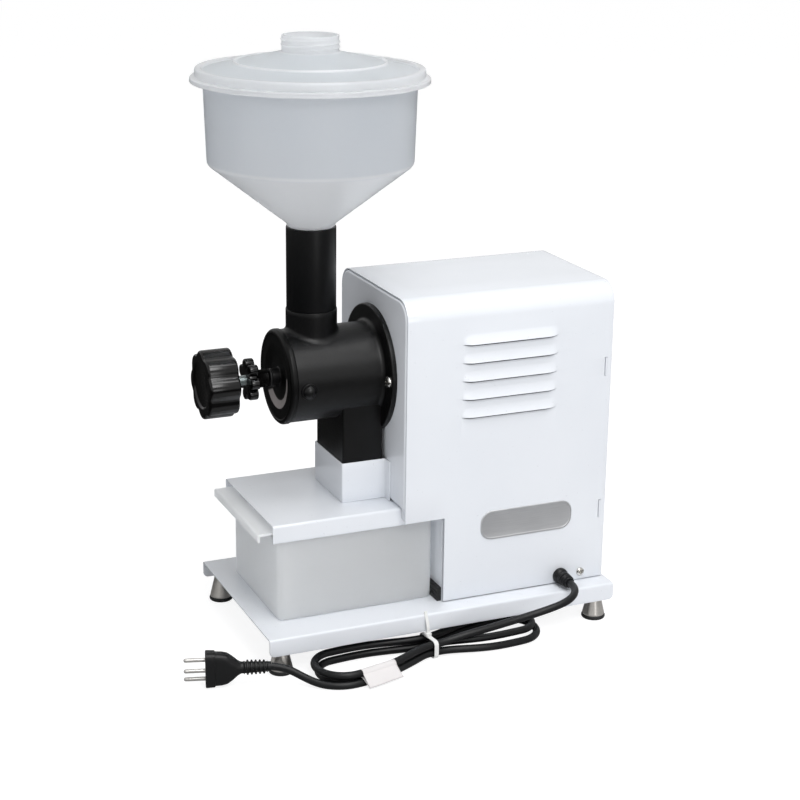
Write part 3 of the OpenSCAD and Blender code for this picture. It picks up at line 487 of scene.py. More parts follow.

# %% [markdown]
# ## The mains lead
# The lead leaves the gland, comes down to the surface, is folded twice into a hank that a tie draws in,
# and ends in its plug. The free stretches follow listed points, and the hank is a formula: a
# long loop whose radius shrinks and grows again, one layer over the other. A cubic spline runs through
# all of it, so the lead is one smooth tube of one length.

# %% Lead route
LEAD_D = 7.4
LEAD = [(105, 147, 47.5), (111, 146.8, 47.4), (119.5, 144.5, 47), (127.5, 139.4, 46.2), (133.5, 132, 45),
        (136.8, 122.5, 43.2), (137.5, 112, 41), (136, 94, 37), (131.5, 74, 31.5), (125.5, 54, 25.5),
        (120.5, 36, 20.5), (117.6, 20, 16.8), (116.9, 8, 14.4), (117.3, 0, 13.6)]
TAIL = [(119.2, -15, 5.2), (123.9, -26.5, 4.6), (132.9, -45.5, 3.9), (140.8, -64.5, 3.8),
        (146.4, -82, 3.8), (149.2, -97, 3.8), (148.9, -109, 3.8), (145.4, -120, 3.9),
        (139.2, -130.5, 4.8), (131.8, -139.5, 7.4), (124.4, -148, 11.4), (118, -157, 15.4)]
PLUG_AT, PLUG_TURN = np.array([112, -170, 18.0]), math.radians(-16)
HANK_AT, HANK_TURN = (107.0, -8.0, 0), math.radians(7)
HANK_HALF, FOLD, LOOP_STEP, LOOPS = 94, 20.5, 8.6, 2
WAIST, WAIST_LENGTH, WAIST_LIFT = 18, 45, 1.6
LAYER, FLOOR_GAP = LEAD_D + 0.6, 0.1
CLIMB_FROM, CLIMB_TURN = 0.875, 0.25
print("free stretches:", len(LEAD) + len(TAIL), "points")


# %% Hank
def swing(points, angle, first, second):
    """Turns points by an angle, from the first axis towards the second."""
    swung, a, b = points.copy(), points[..., first], points[..., second]
    swung[..., first] = math.cos(angle) * a - math.sin(angle) * b
    swung[..., second] = math.sin(angle) * a + math.cos(angle) * b
    return swung


def on_hank(points):
    """Puts points given across, along and above the hank's middle into the frame."""
    return swing(points, HANK_TURN, 0, 1) + HANK_AT


def hank(t):
    """Point of the hank after t loops. A loop has 24 parts: 3 for half a run, 6 for a half circle, 6 for
    the run back, 6 for the other half circle and 3 for the rest, with u along the hank and v across. A
    bell curve draws v in at the tie, and the upper layer drops to the lower one half way."""
    q, r = 24 * (t - np.floor(t)), FOLD + LOOP_STEP * np.abs(t - LOOPS / 2)
    near, far = np.radians(30 * (q - 3)), np.radians(30 * (q - 15))
    part = [q < 3, q < 9, q < 15, q < 21]
    runs = [-HANK_HALF * q / 3, -HANK_HALF - r * np.sin(near), HANK_HALF * ((q - 9) / 3 - 1),
            HANK_HALF + r * np.sin(far)]
    u = np.select(part, runs, HANK_HALF * (8 - q / 3))
    v = np.select(part, [r, r * np.cos(near), -r, -r * np.cos(far)], r)
    drawn = np.exp(-(u / WAIST_LENGTH) ** 2)
    drop = smoothstep((t - CLIMB_FROM) / CLIMB_TURN)
    z = LEAD_D / 2 + FLOOR_GAP + LAYER * (1 - drop) + WAIST_LIFT * drawn
    return on_hank(np.stack([v - np.sign(v) * WAIST * drawn, u, z], -1))


loops = hank(np.linspace(0, LOOPS, LOOPS * 96 + 1))
print("hank:", len(loops), "points, highest at", round(loops[:, 2].max(), 1), "mm")


# %% Lead
def smooth_line(points, spacing):
    """Natural cubic spline by chord length. With steps h and slopes d, the second derivatives m solve
    h m' + 2 (h + h') m + h' m'' = 6 (d' - d), and each stretch is the cubic that they give."""
    points = np.asarray(points, float)
    h = np.linalg.norm(np.diff(points, axis=0), axis=1)
    slope = np.diff(points, axis=0) / h[:, None]
    system = np.diag(np.r_[1, 2 * (h[:-1] + h[1:]), 1])
    system += np.diag(np.r_[h[:-1], 0], -1) + np.diag(np.r_[0, h[1:]], 1)
    second = np.linalg.solve(system, np.pad(6 * np.diff(slope, axis=0), ((1, 1), (0, 0))))
    knots = np.r_[0, np.cumsum(h)]
    s = np.linspace(0, knots[-1], int(knots[-1] / spacing) + 1)
    k = np.clip(np.searchsorted(knots, s, "right") - 1, 0, len(h) - 1)
    a, b, step = (knots[k + 1] - s)[:, None], (s - knots[k])[:, None], h[k][:, None]
    cubic = (second[k] * a ** 3 + second[k + 1] * b ** 3) / (6 * step)
    cubic += (points[k] / step - second[k] * step / 6) * a
    return cubic + (points[k + 1] / step - second[k + 1] * step / 6) * b


def tube(path, radius, sides=16):
    """Carries a circle along a path. With heading t, a ring lies along a = t x up and b = a x t."""
    heading = np.gradient(path, axis=0)
    heading /= np.linalg.norm(heading, axis=1, keepdims=True)
    across = np.cross(heading, UP)
    across /= np.linalg.norm(across, axis=1, keepdims=True)
    over = np.cross(across, heading)
    a = full_turn(sides)[None, :, None]
    ring = radius * (np.cos(a) * across[:, None] + np.sin(a) * over[:, None])
    return solid(path[:, None] + ring)


lead_path = smooth_line(np.vstack([LEAD, loops, TAIL, PLUG_AT]), 2.0)
lead = piece("mains_lead", [tube(lead_path, LEAD_D / 2)], VINYL, "cord_lead", "cord_hank", "cord_tail")

# %% [markdown]
# ## Plug and gland
# The plug is one moulding: a ribbed sleeve that keeps the lead from kinking, a neck that widens, and a
# flat head. Its section is a superellipse whose half sizes change along the axis. The pins are turned
# rods with round tips. The gland is a ribbed sleeve too, turned about the lead where it leaves the wall.

# %% Plug
SLEEVE, HEAD, HEAD_STEP, PLUG_LENGTH, PLUG_EDGE = 28, 52, 0.3, 61, 0.8
HEAD_FRONT = HEAD + HEAD_STEP
plug_way = np.array([math.sin(PLUG_TURN), -math.cos(PLUG_TURN), 0])
plug_side = np.cross(plug_way, UP)


def window(x, start, end, soft):
    """1 between start and end, falling to 0 over a soft edge at each."""
    return smoothstep((x - start) / soft) * smoothstep((end - x) / soft)


def ribs(s, start, end, pitch, height):
    """Square ribs with soft flanks between start and end: a clipped cosine of s."""
    wave = np.clip(0.5 + 1.6 * np.cos(2 * np.pi * (s - start) / pitch), 0, 1)
    return height * wave * window(s, start, end, 1.5)


s = np.r_[np.arange(0, SLEEVE, 0.35), np.linspace(SLEEVE, HEAD, 24),
          np.linspace(HEAD_FRONT, PLUG_LENGTH - PLUG_EDGE, 6)]
half_w = np.interp(s, [0, SLEEVE, 34, 42, HEAD, HEAD_FRONT, PLUG_LENGTH],
                   [4.6, 5.6, 6.6, 7.4, 7.5, 8.2, 8.5])
half_h = np.interp(s, [0, SLEEVE, 31, 36, 41, 46, HEAD, HEAD_FRONT, PLUG_LENGTH],
                   [4.6, 5.6, 7.2, 11.5, 14.6, 15.8, 16.2, 17.2, 17.7])
half = np.stack([half_w, half_h]) + ribs(s, 3, SLEEVE - 2, 3.8, 1.7)
half_w, half_h = np.column_stack([half, half[:, -1] - PLUG_EDGE])[..., None]
s = np.r_[s, PLUG_LENGTH][:, None]
power = np.interp(s, [0, SLEEVE, 40], [1, 1, 0.5])
c, d = np.cos(full_turn(72)), np.sin(full_turn(72))
side, rise = half_w * np.sign(c) * np.abs(c) ** power, half_h * np.sign(d) * np.abs(d) ** power
rings = PLUG_AT + s[..., None] * plug_way + side[..., None] * plug_side + rise[..., None] * UP
plug = piece("plug", [solid(rings)], VINYL, "plug_body")

# %% Pins and gland
PIN_LENGTH, PIN_R, PIN_PITCH, EARTH_SET = 20, 2.0, 9.5, 3
pin = soften([(0, 0, 0), (PIN_R, 0, 0), (PIN_R, PIN_LENGTH - 1.6, 0.8), (1.5, PIN_LENGTH - 0.4, 0.6),
              (0, PIN_LENGTH, 0)], loop=False)
plug_face = PLUG_AT + PLUG_LENGTH * plug_way
pin_places = plug_face + np.array([[0, 0, -PIN_PITCH], -EARTH_SET * plug_side, [0, 0, PIN_PITCH]])
pin_patches = [turned(pin, place, plug_way, 24) for place in pin_places]
pins = piece("plug_pin_set", pin_patches, PIN_BRASS, "plug_pins")

WALL_X, GLAND_END, GLAND_FOOT = span("blank_plate")[0, 0], span("cord_gland")[1, 0], 5.6
foot = soften([(6.0, 0, 0), (8.0, 0, 0.3), (8.0, 3.6, 1.6), (6.4, 5.4, 0.4)], loop=False) + [0, WALL_X]
along = np.arange(0, GLAND_END - WALL_X - GLAND_FOOT, 0.4)
sleeve_r = 6.2 - along * 0.075 + ribs(along, 2, 15.4, 3.4, 1.0)
sleeve = np.column_stack([sleeve_r, WALL_X + GLAND_FOOT + along])
gland = np.vstack([(0, WALL_X), foot, sleeve, (0, GLAND_END)])
piece("lead_gland", [turned(gland, (0, *LEAD[0][1:]), ACROSS, 48)], VINYL, "cord_gland")

# %% [markdown]
# ## Tie and paper flag
# The tie is a nylon band pulled round the waist of the hank, with a small head and its tail left up. It
# is a rounded loop carried round by a thin section. The flag is a blank paper label folded round the
# lead and stuck to itself: a section that goes out, round the lead and back, carried along the lead.

# %% Tie
BAND_T, BAND_W, BAND_ROUND = 1.2, 4.6, 4
TIE_MIDDLE, TIE_HALF = np.array([2.2, 9.4]), np.array([14.5, 9.2])
TIE_TOP = (TIE_MIDDLE + TIE_HALF)[1]
HEAD_X, TAIL_HIGH, TAIL_NARROW = -1.0, 23.2, 0.72
loop = round_outline(*(TIE_HALF - BAND_T / 2), BAND_ROUND) + TIE_MIDDLE
way = np.roll(loop, -1, 0) - np.roll(loop, 1, 0)
outward = np.stack([way[:, 1], -way[:, 0]], -1) / np.linalg.norm(way, axis=1, keepdims=True)
section = round_outline(BAND_T / 2, BAND_W / 2, 0.35, 3)
edges = np.tile(section[:, 1], (len(loop), 1))
band = stacked(loop[:, None] + section[:, :1] * outward[:, None], edges, 1)
rise = np.linspace(0, 1, 24)
bow = np.stack([HEAD_X - 3.5 * rise ** 2 + 1.2 * np.sin(5 * rise), 0 * rise], -1)
tail = stacked(section * [1, TAIL_NARROW] + bow[:, None], TIE_TOP + TAIL_HIGH * rise, 2)
size, lift = np.array([0.9, 1, 1, 0.9]), np.array([-0.8, -0.2, 2.4, 3.0])
outlines = size[:, None, None] * round_outline(3.2, 3.0, 0.9, 4) + [HEAD_X, 0]
head = stacked(outlines, TIE_TOP + lift, 2)
tie_patches = [patch(on_hank(band), True, True), solid(on_hank(tail)), solid(on_hank(head))]
tie = piece("nylon_tie", tie_patches, NYLON, "cable_tie")

# %% Flag, and what the lead is
FLAG_AT = hank(np.array([0.0945]))[0]
FLAG_TURN, FLAG_TILT = math.radians(103), math.radians(30)
FLAG_LENGTH, FLAG_REACH, PAPER_T, SLACK = 38, 17, 0.25, 0.35
wrap = np.radians(np.linspace(125, -125, 24))
around = (LEAD_D / 2 + SLACK) * np.stack([np.cos(wrap), np.sin(wrap)], -1)
legs = np.linspace(1, 0.18, 8)[:, None]
upper = np.hstack([-FLAG_REACH * legs, SLACK + 2.6 * (1 - legs) ** 1.5])
paper = np.vstack([upper, around, (upper * [1, -1])[::-1]])
along = np.linspace(-FLAG_LENGTH / 2, FLAG_LENGTH / 2, 20)
curl = 0.9 * np.sin(along / 9)[:, None] * np.clip(-paper[:, 0] / FLAG_REACH, 0, 1) ** 2
flag = stacked(paper + np.stack([0 * curl, curl], -1), along, 0)
flag = swing(swing(flag, FLAG_TILT, 1, 2), FLAG_TURN, 0, 1) + FLAG_AT
label = piece("paper_flag", [patch(flag)], PAPER, "cord_tag", closed=False)
paper_sheet = label.modifiers.new("paper", "SOLIDIFY")
paper_sheet.thickness, paper_sheet.offset = PAPER_T * MM, 0

# %% [markdown]
# ## Folded sheet: base and shelf
# Both are trays pressed from one sheet: a flat top and two side flanges. The section is a line with two
# round bends, and it is carried along Y. On the base the flanges' lower corners are rounded off, so the
# depth of a flange shrinks near its ends along a quarter circle. Solidify gives the sheet its thickness.
# The shelf runs on behind the front panel, and has an opening for the chute.

# %% Sheet
BEVEL_ANGLE = math.radians(40)


def sheet(name, surface, node, thickness, edge=0.35):
    """Painted sheet from an open surface: Solidify inwards, then a small bevel on every cut edge."""
    made = piece(name, [surface], PAINT, node, closed=False)
    thick = made.modifiers.new("sheet", "SOLIDIFY")
    thick.thickness, thick.offset, thick.use_even_offset = thickness * MM, -1, True
    bevel = made.modifiers.new("edge", "BEVEL")
    bevel.width, bevel.segments, bevel.limit_method = edge * MM, 2, "ANGLE"
    bevel.angle_limit = BEVEL_ANGLE


def folded(side, top, flip=1):
    """Rows of a section that is alike on both sides: up one side, over the top and down the other."""
    return np.concatenate([side, top, flip * side[::-1]])


print("a fold of 3 rows and a top of 2 has", len(folded(np.zeros(3), np.zeros(2))), "rows")


# %% Base tray
def tray(node, bend, corner, columns, breaks=()):
    """Section of a tray: rows run up one flange, round a bend, over the top and down again. A flange
    point lies a share k of the flange's depth below the bend, and the depth depends on y."""
    low, high = span(node)
    y = np.unique(np.r_[low[1], columns, high[1]])
    end = np.clip(np.minimum(y - low[1], high[1] - y), 0, max(corner, 1e-9))
    lift = corner - np.sqrt(np.maximum(corner ** 2 - (corner - end) ** 2, 0))
    depth = (high[2] - bend - low[2]) - lift
    k = np.linspace(1, 0, 6)
    down, inward = (part[1:] for part in quarter_round(bend, 7))
    top = np.unique(np.r_[-high[0] + bend, breaks, high[0] - bend])[::-1][1:-1]
    x = folded(high[0] - np.r_[0 * k, inward], top, -1)
    up = folded(np.r_[0 * k, bend - down], 0 * top + bend)
    k = folded(np.r_[k, 0 * inward], 0 * top)
    z = high[2] - bend + up[:, None] - k[:, None] * depth
    return np.stack(np.broadcast_arrays(x[:, None], y, z), -1)


BASE_LOW, BASE_HIGH = span("base_plate")
BASE_CORNER, BASE_BEND, BASE_T = 5, 2.2, 1.5
ends = quarter_round(BASE_CORNER, 9)[1]
base_columns = np.r_[BASE_LOW[1] + ends, 0, BASE_HIGH[1] - ends]
base_grid = tray("base_plate", BASE_BEND, BASE_CORNER, base_columns)
sheet("base_tray", patch(base_grid), "base_plate", BASE_T)

# %% Shelf
COLLAR_LOW, COLLAR_HIGH = span("chute_collar")
SHELF_T, SHELF_BEND, SHELF_END, COLLAR_HALF = 1.2, 2.5, -15.0, 37
chute_half, chute_front = COLLAR_HALF - SHELF_T, COLLAR_LOW[1] + SHELF_T
shelf_columns = [chute_front, -110, -40, SHELF_END]


def middles(grid):
    """Middle of every quad of a grid."""
    return (grid[:-1, :-1] + grid[1:, :-1] + grid[:-1, 1:] + grid[1:, 1:]) / 4


shelf_grid = tray("shelf", SHELF_BEND, 0, shelf_columns, [-chute_half, chute_half])
spot = middles(shelf_grid)
opening = (np.abs(spot[..., 0]) < chute_half) & (spot[..., 1] > chute_front)
sheet("drawer_shelf", patch(shelf_grid, keep=~opening), "shelf", SHELF_T)

# %% [markdown]
# ## Folded sheet: the chute's collar
# A strip bent into a U with two ears, standing round the chute. Seen from above it is one bent line, and
# the strip is that line carried straight up. The ears lie on the face of the front panel.

# %% Collar
PAN_PROUD = 1.0
ear_y = COLLAR_HIGH[1] - SHELF_T - PAN_PROUD
bends = [(COLLAR_HALF, ear_y), (COLLAR_HALF, COLLAR_LOW[1])]
plan = [(COLLAR_LOW[0], ear_y), *((-x, y) for x, y in bends), *bends[::-1], (COLLAR_HIGH[0], ear_y)]
levels = [COLLAR_LOW[2] + 0.05, 150, 165, COLLAR_HIGH[2]]
collar = patch(stacked([soften(plan, 1.6, loop=False)] * len(levels), levels, 2))
sheet("chute_surround", collar, "chute_collar", SHELF_T, 0.3)

# %% [markdown]
# ## The housing cover and its louvres
# One sheet goes up one side, over the top and down the other. The louvres are pressed out of it: a hood
# that stands proud at its cut lower edge and fades into the wall above and at both ends. In the grid a
# louvre's lip is a doubled row: the upper one moves out with the hood and the lower one moves down a
# little, so the slit under the lip opens by itself and closes at its ends. A mask takes out the step
# over the drawer and the four hook slots.

# %% Rows and columns of the cover
COVER_LOW, COVER_HIGH = span("housing_cover")
PANEL_LOW, PANEL_HIGH = span("front_panel")
COVER_HALF, COVER_FRONT, COVER_BEND, COVER_T, COVER_LIFT = WALL_X, PANEL_LOW[1], 20, 1.2, 0.8
STEP_Y, STEP_Z = 18.5, 127.0
LIPS = 227.5 + 18 * np.arange(5)
HOOD_H, HOOD_OUT, HOOD_FADE, SLIT = 10, 3.9, 12, 2.2
HOOD_START, HOOD_END = 33.5, 135.5
SLOT_Y, SLOT_HALF, SLOT_ZS, SLOT_TALL = 189, 1.4, (113.4, 262), 9.5
PLAIN_ROWS, PLAIN_COLUMNS = (60, 90, 160, 200), np.r_[0, 26, np.linspace(45, 125, 9), 165]
HOOD_ROWS = HOOD_H * np.array([0, 0.06, 0.12, 0.22, 0.34, 0.46, 0.58, 0.7, 0.82, 0.92, 1])
HAIR = 1e-3


def hood(z):
    """How far a hood stands out at a height: full at the lip, then fading to nothing at its top."""
    t = (z[:, None] - LIPS) / HOOD_H
    return np.where((t >= 0) & (t <= 1), np.clip(1 - t, 0, 1) ** 1.4, 0).sum(1)


slot_rows = [z + side * SLOT_TALL for z in SLOT_ZS for side in (-1, 1)]
wall_z = np.unique(np.r_[COVER_LOW[2] + COVER_LIFT, PLAIN_ROWS, STEP_Z, slot_rows, LIPS - HAIR,
                         (LIPS[:, None] + HOOD_ROWS).ravel(), COVER_HIGH[2] - COVER_BEND])
fade = np.linspace(0, HOOD_FADE, 11)
columns = np.unique(np.r_[COVER_FRONT, STEP_Y, PLAIN_COLUMNS, HOOD_START + fade, HOOD_END - fade,
                          SLOT_Y - SLOT_HALF, SLOT_Y + SLOT_HALF, COVER_HIGH[1]])
print("cover wall:", len(wall_z), "rows,", len(columns), "columns")

# %% Cover
swell = np.sqrt(window(columns, HOOD_START, HOOD_END, HOOD_FADE))
press = HOOD_OUT * hood(wall_z)[:, None] * swell
cut_row = np.any(np.abs(wall_z[:, None] + HAIR - LIPS) < HAIR / 2, axis=1)
drop = SLIT * cut_row[:, None] * swell
down, inward = (part[1:-1] for part in quarter_round(COVER_BEND, 13))
top_x = np.linspace(COVER_HALF - COVER_BEND, COVER_BEND - COVER_HALF, 5)
x = folded(COVER_HALF - np.r_[0 * wall_z, inward], top_x, -1)
z = folded(np.r_[wall_z, COVER_HIGH[2] - down], 0 * top_x + COVER_HIGH[2])
flat = np.zeros((len(x) - 2 * len(wall_z), len(columns)))
cover_grid = np.stack(np.broadcast_arrays(x[:, None], columns, z[:, None]), -1).copy()
cover_grid[..., 0] += folded(press, flat, -1)
cover_grid[..., 2] -= folded(drop, flat)
spot = middles(cover_grid)
step_out = (spot[..., 1] < STEP_Y) & (spot[..., 2] < STEP_Z)
hook_slot = np.any([np.abs(spot[..., 2] - middle) < SLOT_TALL for middle in SLOT_ZS], axis=0)
hook_slot &= np.abs(spot[..., 1] - SLOT_Y) < SLOT_HALF
slit = ((np.abs(np.diff(z)) < 2 * HAIR) & (np.abs(x[:-1]) == COVER_HALF))[:, None]
cover = patch(cover_grid, keep=~(step_out | hook_slot | slit))
sheet("housing_shell", cover, "housing_cover", COVER_T, 0.3)

# %% [markdown]
# ## The front panel
# A pan pressed from sheet. Its face stands a little proud of the cover, and its edge is bent back all
# round, so the bend catches the light and a dark gap is left to the cover and to the shelf. Rings of
# points run from the hole over the face, round the bend, back to the flange's end and home again inside.

# %% Front panel
SHAFT_Z = 262.0
PAN_BEND, PAN_LIFT, PAN_DEPTH, PAN_T, PAN_HOLE = 2.0, 1.3, 5.0, 1.0, 40.5
PAN_CORNER = COVER_BEND - (COVER_HALF - PANEL_HIGH[0])


def pan_outline(inset):
    """The panel's edge drawn in by an inset: square corners below, round ones above."""
    half, low, top = PANEL_HIGH[0] - inset, PANEL_LOW[2] + PAN_LIFT + inset, PANEL_HIGH[2] - inset
    r = PAN_CORNER - inset
    down, inward = quarter_round(r, 15)
    share, run = np.linspace(0, 1, 13)[1:-1], np.ones(11)
    x = np.r_[half, half * run, half - inward, (half - r) * (1 - share)]
    z = np.r_[low, low + (top - r - low) * share, top - down, top * run]
    below = np.linspace(-half, half, 13)[1:-1]
    return np.column_stack([np.r_[x, 0, -x[::-1], below], np.r_[z, top, z[::-1], low * run]])


edge = pan_outline(0)
angle = np.arctan2(edge[:, 1] - SHAFT_Z, edge[:, 0])
hole = np.column_stack([PAN_HOLE * np.cos(angle), SHAFT_Z + PAN_HOLE * np.sin(angle)])
inset, depth = np.transpose([*zip(*quarter_round(PAN_BEND, 7)), (0, PAN_DEPTH), (PAN_T, PAN_DEPTH),
                             (PAN_T, PAN_BEND), (PAN_BEND + PAN_T, PAN_T)])
rings = [hole, *map(pan_outline, inset), hole]
pan = stacked(rings, COVER_FRONT - PAN_PROUD + np.r_[0, depth, PAN_T], 1)
piece("pressed_panel", [patch(pan, True, True)], PAINT, "front_panel")

# %% [markdown]
# ## Feet
# A foot is a turned cone on a rubber ring, four times. One profile is turned about a vertical axis at
# each foot, and all four make one piece, as they do in the frame.

# %% Feet and pads
FOOT_HIGH, (PAD_LOW, PAD_HIGH) = span("feet")[1], span("foot_pads")
PAD_R, PAD_H, FOOT_TOP, STEM_R, STEM_LOW = 12.0, PAD_HIGH[2], FOOT_HIGH[2], 6.6, 24
foot_x = PAD_HIGH[0] - PAD_R
foot_r = FOOT_HIGH[0] - foot_x
foot_places = [(x, y, 0) for x in (-foot_x, foot_x) for y in (PAD_LOW[1] + PAD_R, PAD_HIGH[1] - PAD_R)]
cone = soften([(0, PAD_H, 0), (foot_r, PAD_H, 0.3), (foot_r, PAD_H + 1.2, 0.5), (STEM_R, STEM_LOW, 3.0),
               (STEM_R, FOOT_TOP, 0.3), (0, FOOT_TOP, 0)], loop=False)
pad = soften([(0, 0.6, 0), (4, 0.6, 0.2), (4.6, 0, 0.2), (PAD_R - 0.8, 0, 0.8), (PAD_R, 1.2, 0.6),
              (PAD_R, PAD_H - 1.2, 0.6), (PAD_R - 0.9, PAD_H, 0.5), (0, PAD_H, 0)], loop=False)
for name, profile, finish, node in (("turned_feet", cone, TURNED_STEEL, "feet"),
                                    ("rubber_pads", pad, RUBBER, "foot_pads")):
    piece(name, [turned(profile, place, UP, 64) for place in foot_places], finish, node)

# %% [markdown]
# ## The grinder's casting
# Barrel, flange, neck and chute are one casting. The barrel and flange are turned about the shaft. The
# neck stands on the barrel, so its foot follows the barrel's roundness, at height sqrt(R R - x x), and
# flares out in a fillet. The chute hangs under the barrel in the same way. A boss for the guide screw
# sits on the side. The patches run into each other, as the pattern for such a casting is built up.

# %% Barrel and neck
SHAFT, HOPPER_AXIS = (0, 0, SHAFT_Z), (0, -87.0, 0)
BODY_LOW, BODY_HIGH = span("grinder_body")
BODY_FRONT, NECK_TOP = BODY_LOW[1], BODY_HIGH[2]
BORE_R, BARREL_R, FLANGE_R, FLANGE_FRONT = 38, 45.0, 62.0, -29.0
NECK_R, SEAT_R, NECK_FILLET, NECK_SIDES = 24.5, 20.5, 3.5, 128
barrel = soften([(BORE_R, BODY_FRONT, 0.3), (BARREL_R, BODY_FRONT, 1.2), (BARREL_R, FLANGE_FRONT, 4.5),
                 (FLANGE_R, FLANGE_FRONT, 1.8), (FLANGE_R, COVER_FRONT, 0.3), (BORE_R, COVER_FRONT, 0.3)],
                steps=8)


def on_barrel(x):
    """Height of the barrel's round wall over the shaft at a distance x to the side."""
    return np.sqrt(np.maximum(BARREL_R ** 2 - x ** 2, 0))


x = np.cos(full_turn(NECK_SIDES))
rise, outward = (part[1:, None] for part in quarter_round(NECK_FILLET, 9))
foot = SHAFT_Z + on_barrel((NECK_R + outward) * x) + rise
down = np.linspace(0, 1, 6)[:, None]
wall = (NECK_TOP - 0.8) * (1 - down) + (SHAFT_Z + on_barrel(NECK_R * x) + NECK_FILLET) * down
lip_r = [[SEAT_R], [SEAT_R], [SEAT_R + 0.5], [NECK_R - 0.9], [NECK_R - 0.25]]
lip_z = NECK_TOP - np.array([[13], [0.6], [0], [0], [0.25]])
radius = np.vstack([lip_r, 0 * down + NECK_R, NECK_R + outward])
height = np.vstack([np.repeat(lip_z, NECK_SIDES, 1), wall, foot])
neck = spun(radius, height, HOPPER_AXIS, UP, NECK_SIDES)
print("barrel:", len(barrel), "points in its profile; neck:", len(neck), "rings")

# %% Chute, boss and the whole casting
CHUTE_X, CHUTE_T, CHUTE_LOW = 35.5, 4.0, BODY_LOW[2]
CHUTE_FRONT, CHUTE_BACK, SINK = -68.5, FLANGE_FRONT + 2, 2
BOSS_AT, BOSS_TOP = (0, -106.0, 258.0), BARREL_R + 1.5
middle, half = (CHUTE_FRONT + CHUTE_BACK) / 2, (CHUTE_BACK - CHUTE_FRONT) / 2
outer = round_outline(CHUTE_X, half, 2.2)
inner = round_outline(CHUTE_X - CHUTE_T, half - CHUTE_T, 1.2)
rows = [(inner, CHUTE_LOW + 30), (inner, CHUTE_LOW + 0.4), (inner * 1.012, CHUTE_LOW),
        (outer * 0.988, CHUTE_LOW), (outer, CHUTE_LOW + 0.5),
        (outer, SHAFT_Z - on_barrel(outer[:, 0]) + SINK)]
chute = stacked([line + [0, middle] for line, z in rows], [z for line, z in rows], 2)
boss = soften([(0, 33, 0), (8.6, 33, 0), (8.0, BOSS_TOP, 0.6), (0, BOSS_TOP, 0)], loop=False)
casting_patches = [turned(barrel, SHAFT, BACK, 160), patch(neck, False, True), patch(chute, False, True),
                   turned(boss, BOSS_AT, ACROSS, 48)]
piece("grinder_casting", casting_patches, CASTING, "grinder_body")

# %% [markdown]
# ## Feed tube and front cover
# The tube that carries the hopper is a plain turned pipe. The front cover closes the barrel: a dished
# disc with a raised rim and a boss for the stud. Its dish has a bare ring, lit on its lower half, and
# that lit half is a painted highlight: a mask in Object coordinates, between two radii, below the shaft.

# %% Feed tube
TUBE_LOW, TUBE_HIGH = span("feed_tube")
TUBE_R, TUBE_FOOT, TUBE_TOP, TUBE_IN, TUBE_BORE = TUBE_HIGH[0], TUBE_LOW[2], TUBE_HIGH[2], 21.4, 18.5
spigot_r = SEAT_R - 0.05
pipe = soften([(TUBE_BORE, TUBE_FOOT, 0.2), (spigot_r, TUBE_FOOT, 0.2), (spigot_r, NECK_TOP, 0.1),
               (TUBE_R, NECK_TOP + 0.05, 0.5), (TUBE_R, TUBE_TOP, 0.9), (TUBE_IN, TUBE_TOP, 0.4),
               (TUBE_IN, TUBE_TOP - 26, 1), (TUBE_BORE, TUBE_TOP - 32, 1)])
piece("feed_pipe", [turned(pipe, HOPPER_AXIS, UP)], TUBE_BLACK, "feed_tube")

# %% Cover of the head
END_R, END_FRONT, BOSS_FRONT = 46.0, BODY_FRONT - 6, span("front_cover")[0, 1]
SPIGOT_R, SPIGOT_BACK, STUD_HOLE = BORE_R - 0.1, BODY_FRONT + 3, 5.05
disc = soften([(STUD_HOLE, BOSS_FRONT, 0.1), (8.0, BOSS_FRONT, 0.4), (9, BOSS_FRONT + 1, 0.4),
               (9, END_FRONT + 2.5, 1.2), (21, END_FRONT + 2.5, 2.0), (31.5, END_FRONT, 1.5),
               (41, END_FRONT, 0.4), (42, END_FRONT - 0.8, 0.4), (44.4, END_FRONT - 0.2, 0.8),
               (END_R, END_FRONT + 1.6, 0.8), (END_R, BODY_FRONT - 0.3, 0.5),
               (END_R - 2, BODY_FRONT, 0.5), (SPIGOT_R, BODY_FRONT, 0.2), (SPIGOT_R, SPIGOT_BACK, 0.2),
               (STUD_HOLE, SPIGOT_BACK, 0.1)])


def black_with_painted_highlight():
    """Satin black with a painted highlight: a light grey crescent on a bare ring, between two radii, and
    only below the shaft, where the light falls.
    """
    f = Finish("satin_black_painted_highlight", {"IOR": 1.5, "Specular IOR Level": 0.2})
    x, z, sand = f.axis("X"), f.axis("Z", SHAFT_Z), f.noise(520, 3)
    radius = away(x, z)
    ring = f.past(radius, 22.5, 23.0) * (1 - f.past(radius, 30.5, 31.0))
    # painted highlight: only the ring's lower half, where the light falls, turns light grey
    mask = ring * f.past(x * 0.5 - z, 7.5, 9.5)
    tone = f.blend(mask, f.blend(sand, tint("030304"), tint("090909")), tint("9a9493"))
    return f.shade(tone, 0.32 + sand * 0.14, f.bump(sand, 0.25, 0.3))


piece("head_cover", [turned(disc, SHAFT, BACK, 128)], black_with_painted_highlight(), "front_cover")

# %% [markdown]
# ## Knobs and stud
# A lobed knob is a disc whose radius changes with the angle: the soft maximum of a round core and of
# the far side of each lobe's circle. Across its thickness the outline is drawn in at both edges, so the
# edges are round. The stud's thread is a radius that depends on height less angle: a helix.

# %% Knob shapes
KNOB_SIDES = 240
KNOB_LOBES, LOCK_LOBES = (8, 33.0, 11.5, 29.4), (7, 20.4, 5.2, 12.4)


def lobed(count, reach, lobe, core, turn=0.0, sharpness=1.4):
    """Radius of a lobed outline: log(exp(k core) + exp(k far)) / k, where far is the exit of a ray from
    the nearest lobe's circle."""
    centre = reach - lobe
    off = (full_turn(KNOB_SIDES) - turn + np.pi / count) % (2 * np.pi / count) - np.pi / count
    inside = np.maximum(lobe ** 2 - (centre * np.sin(off)) ** 2, 0)
    far = np.where(inside > 0, centre * np.cos(off) + np.sqrt(inside), 0)
    return np.log(np.exp(sharpness * (far - core)) + 1) / sharpness + core


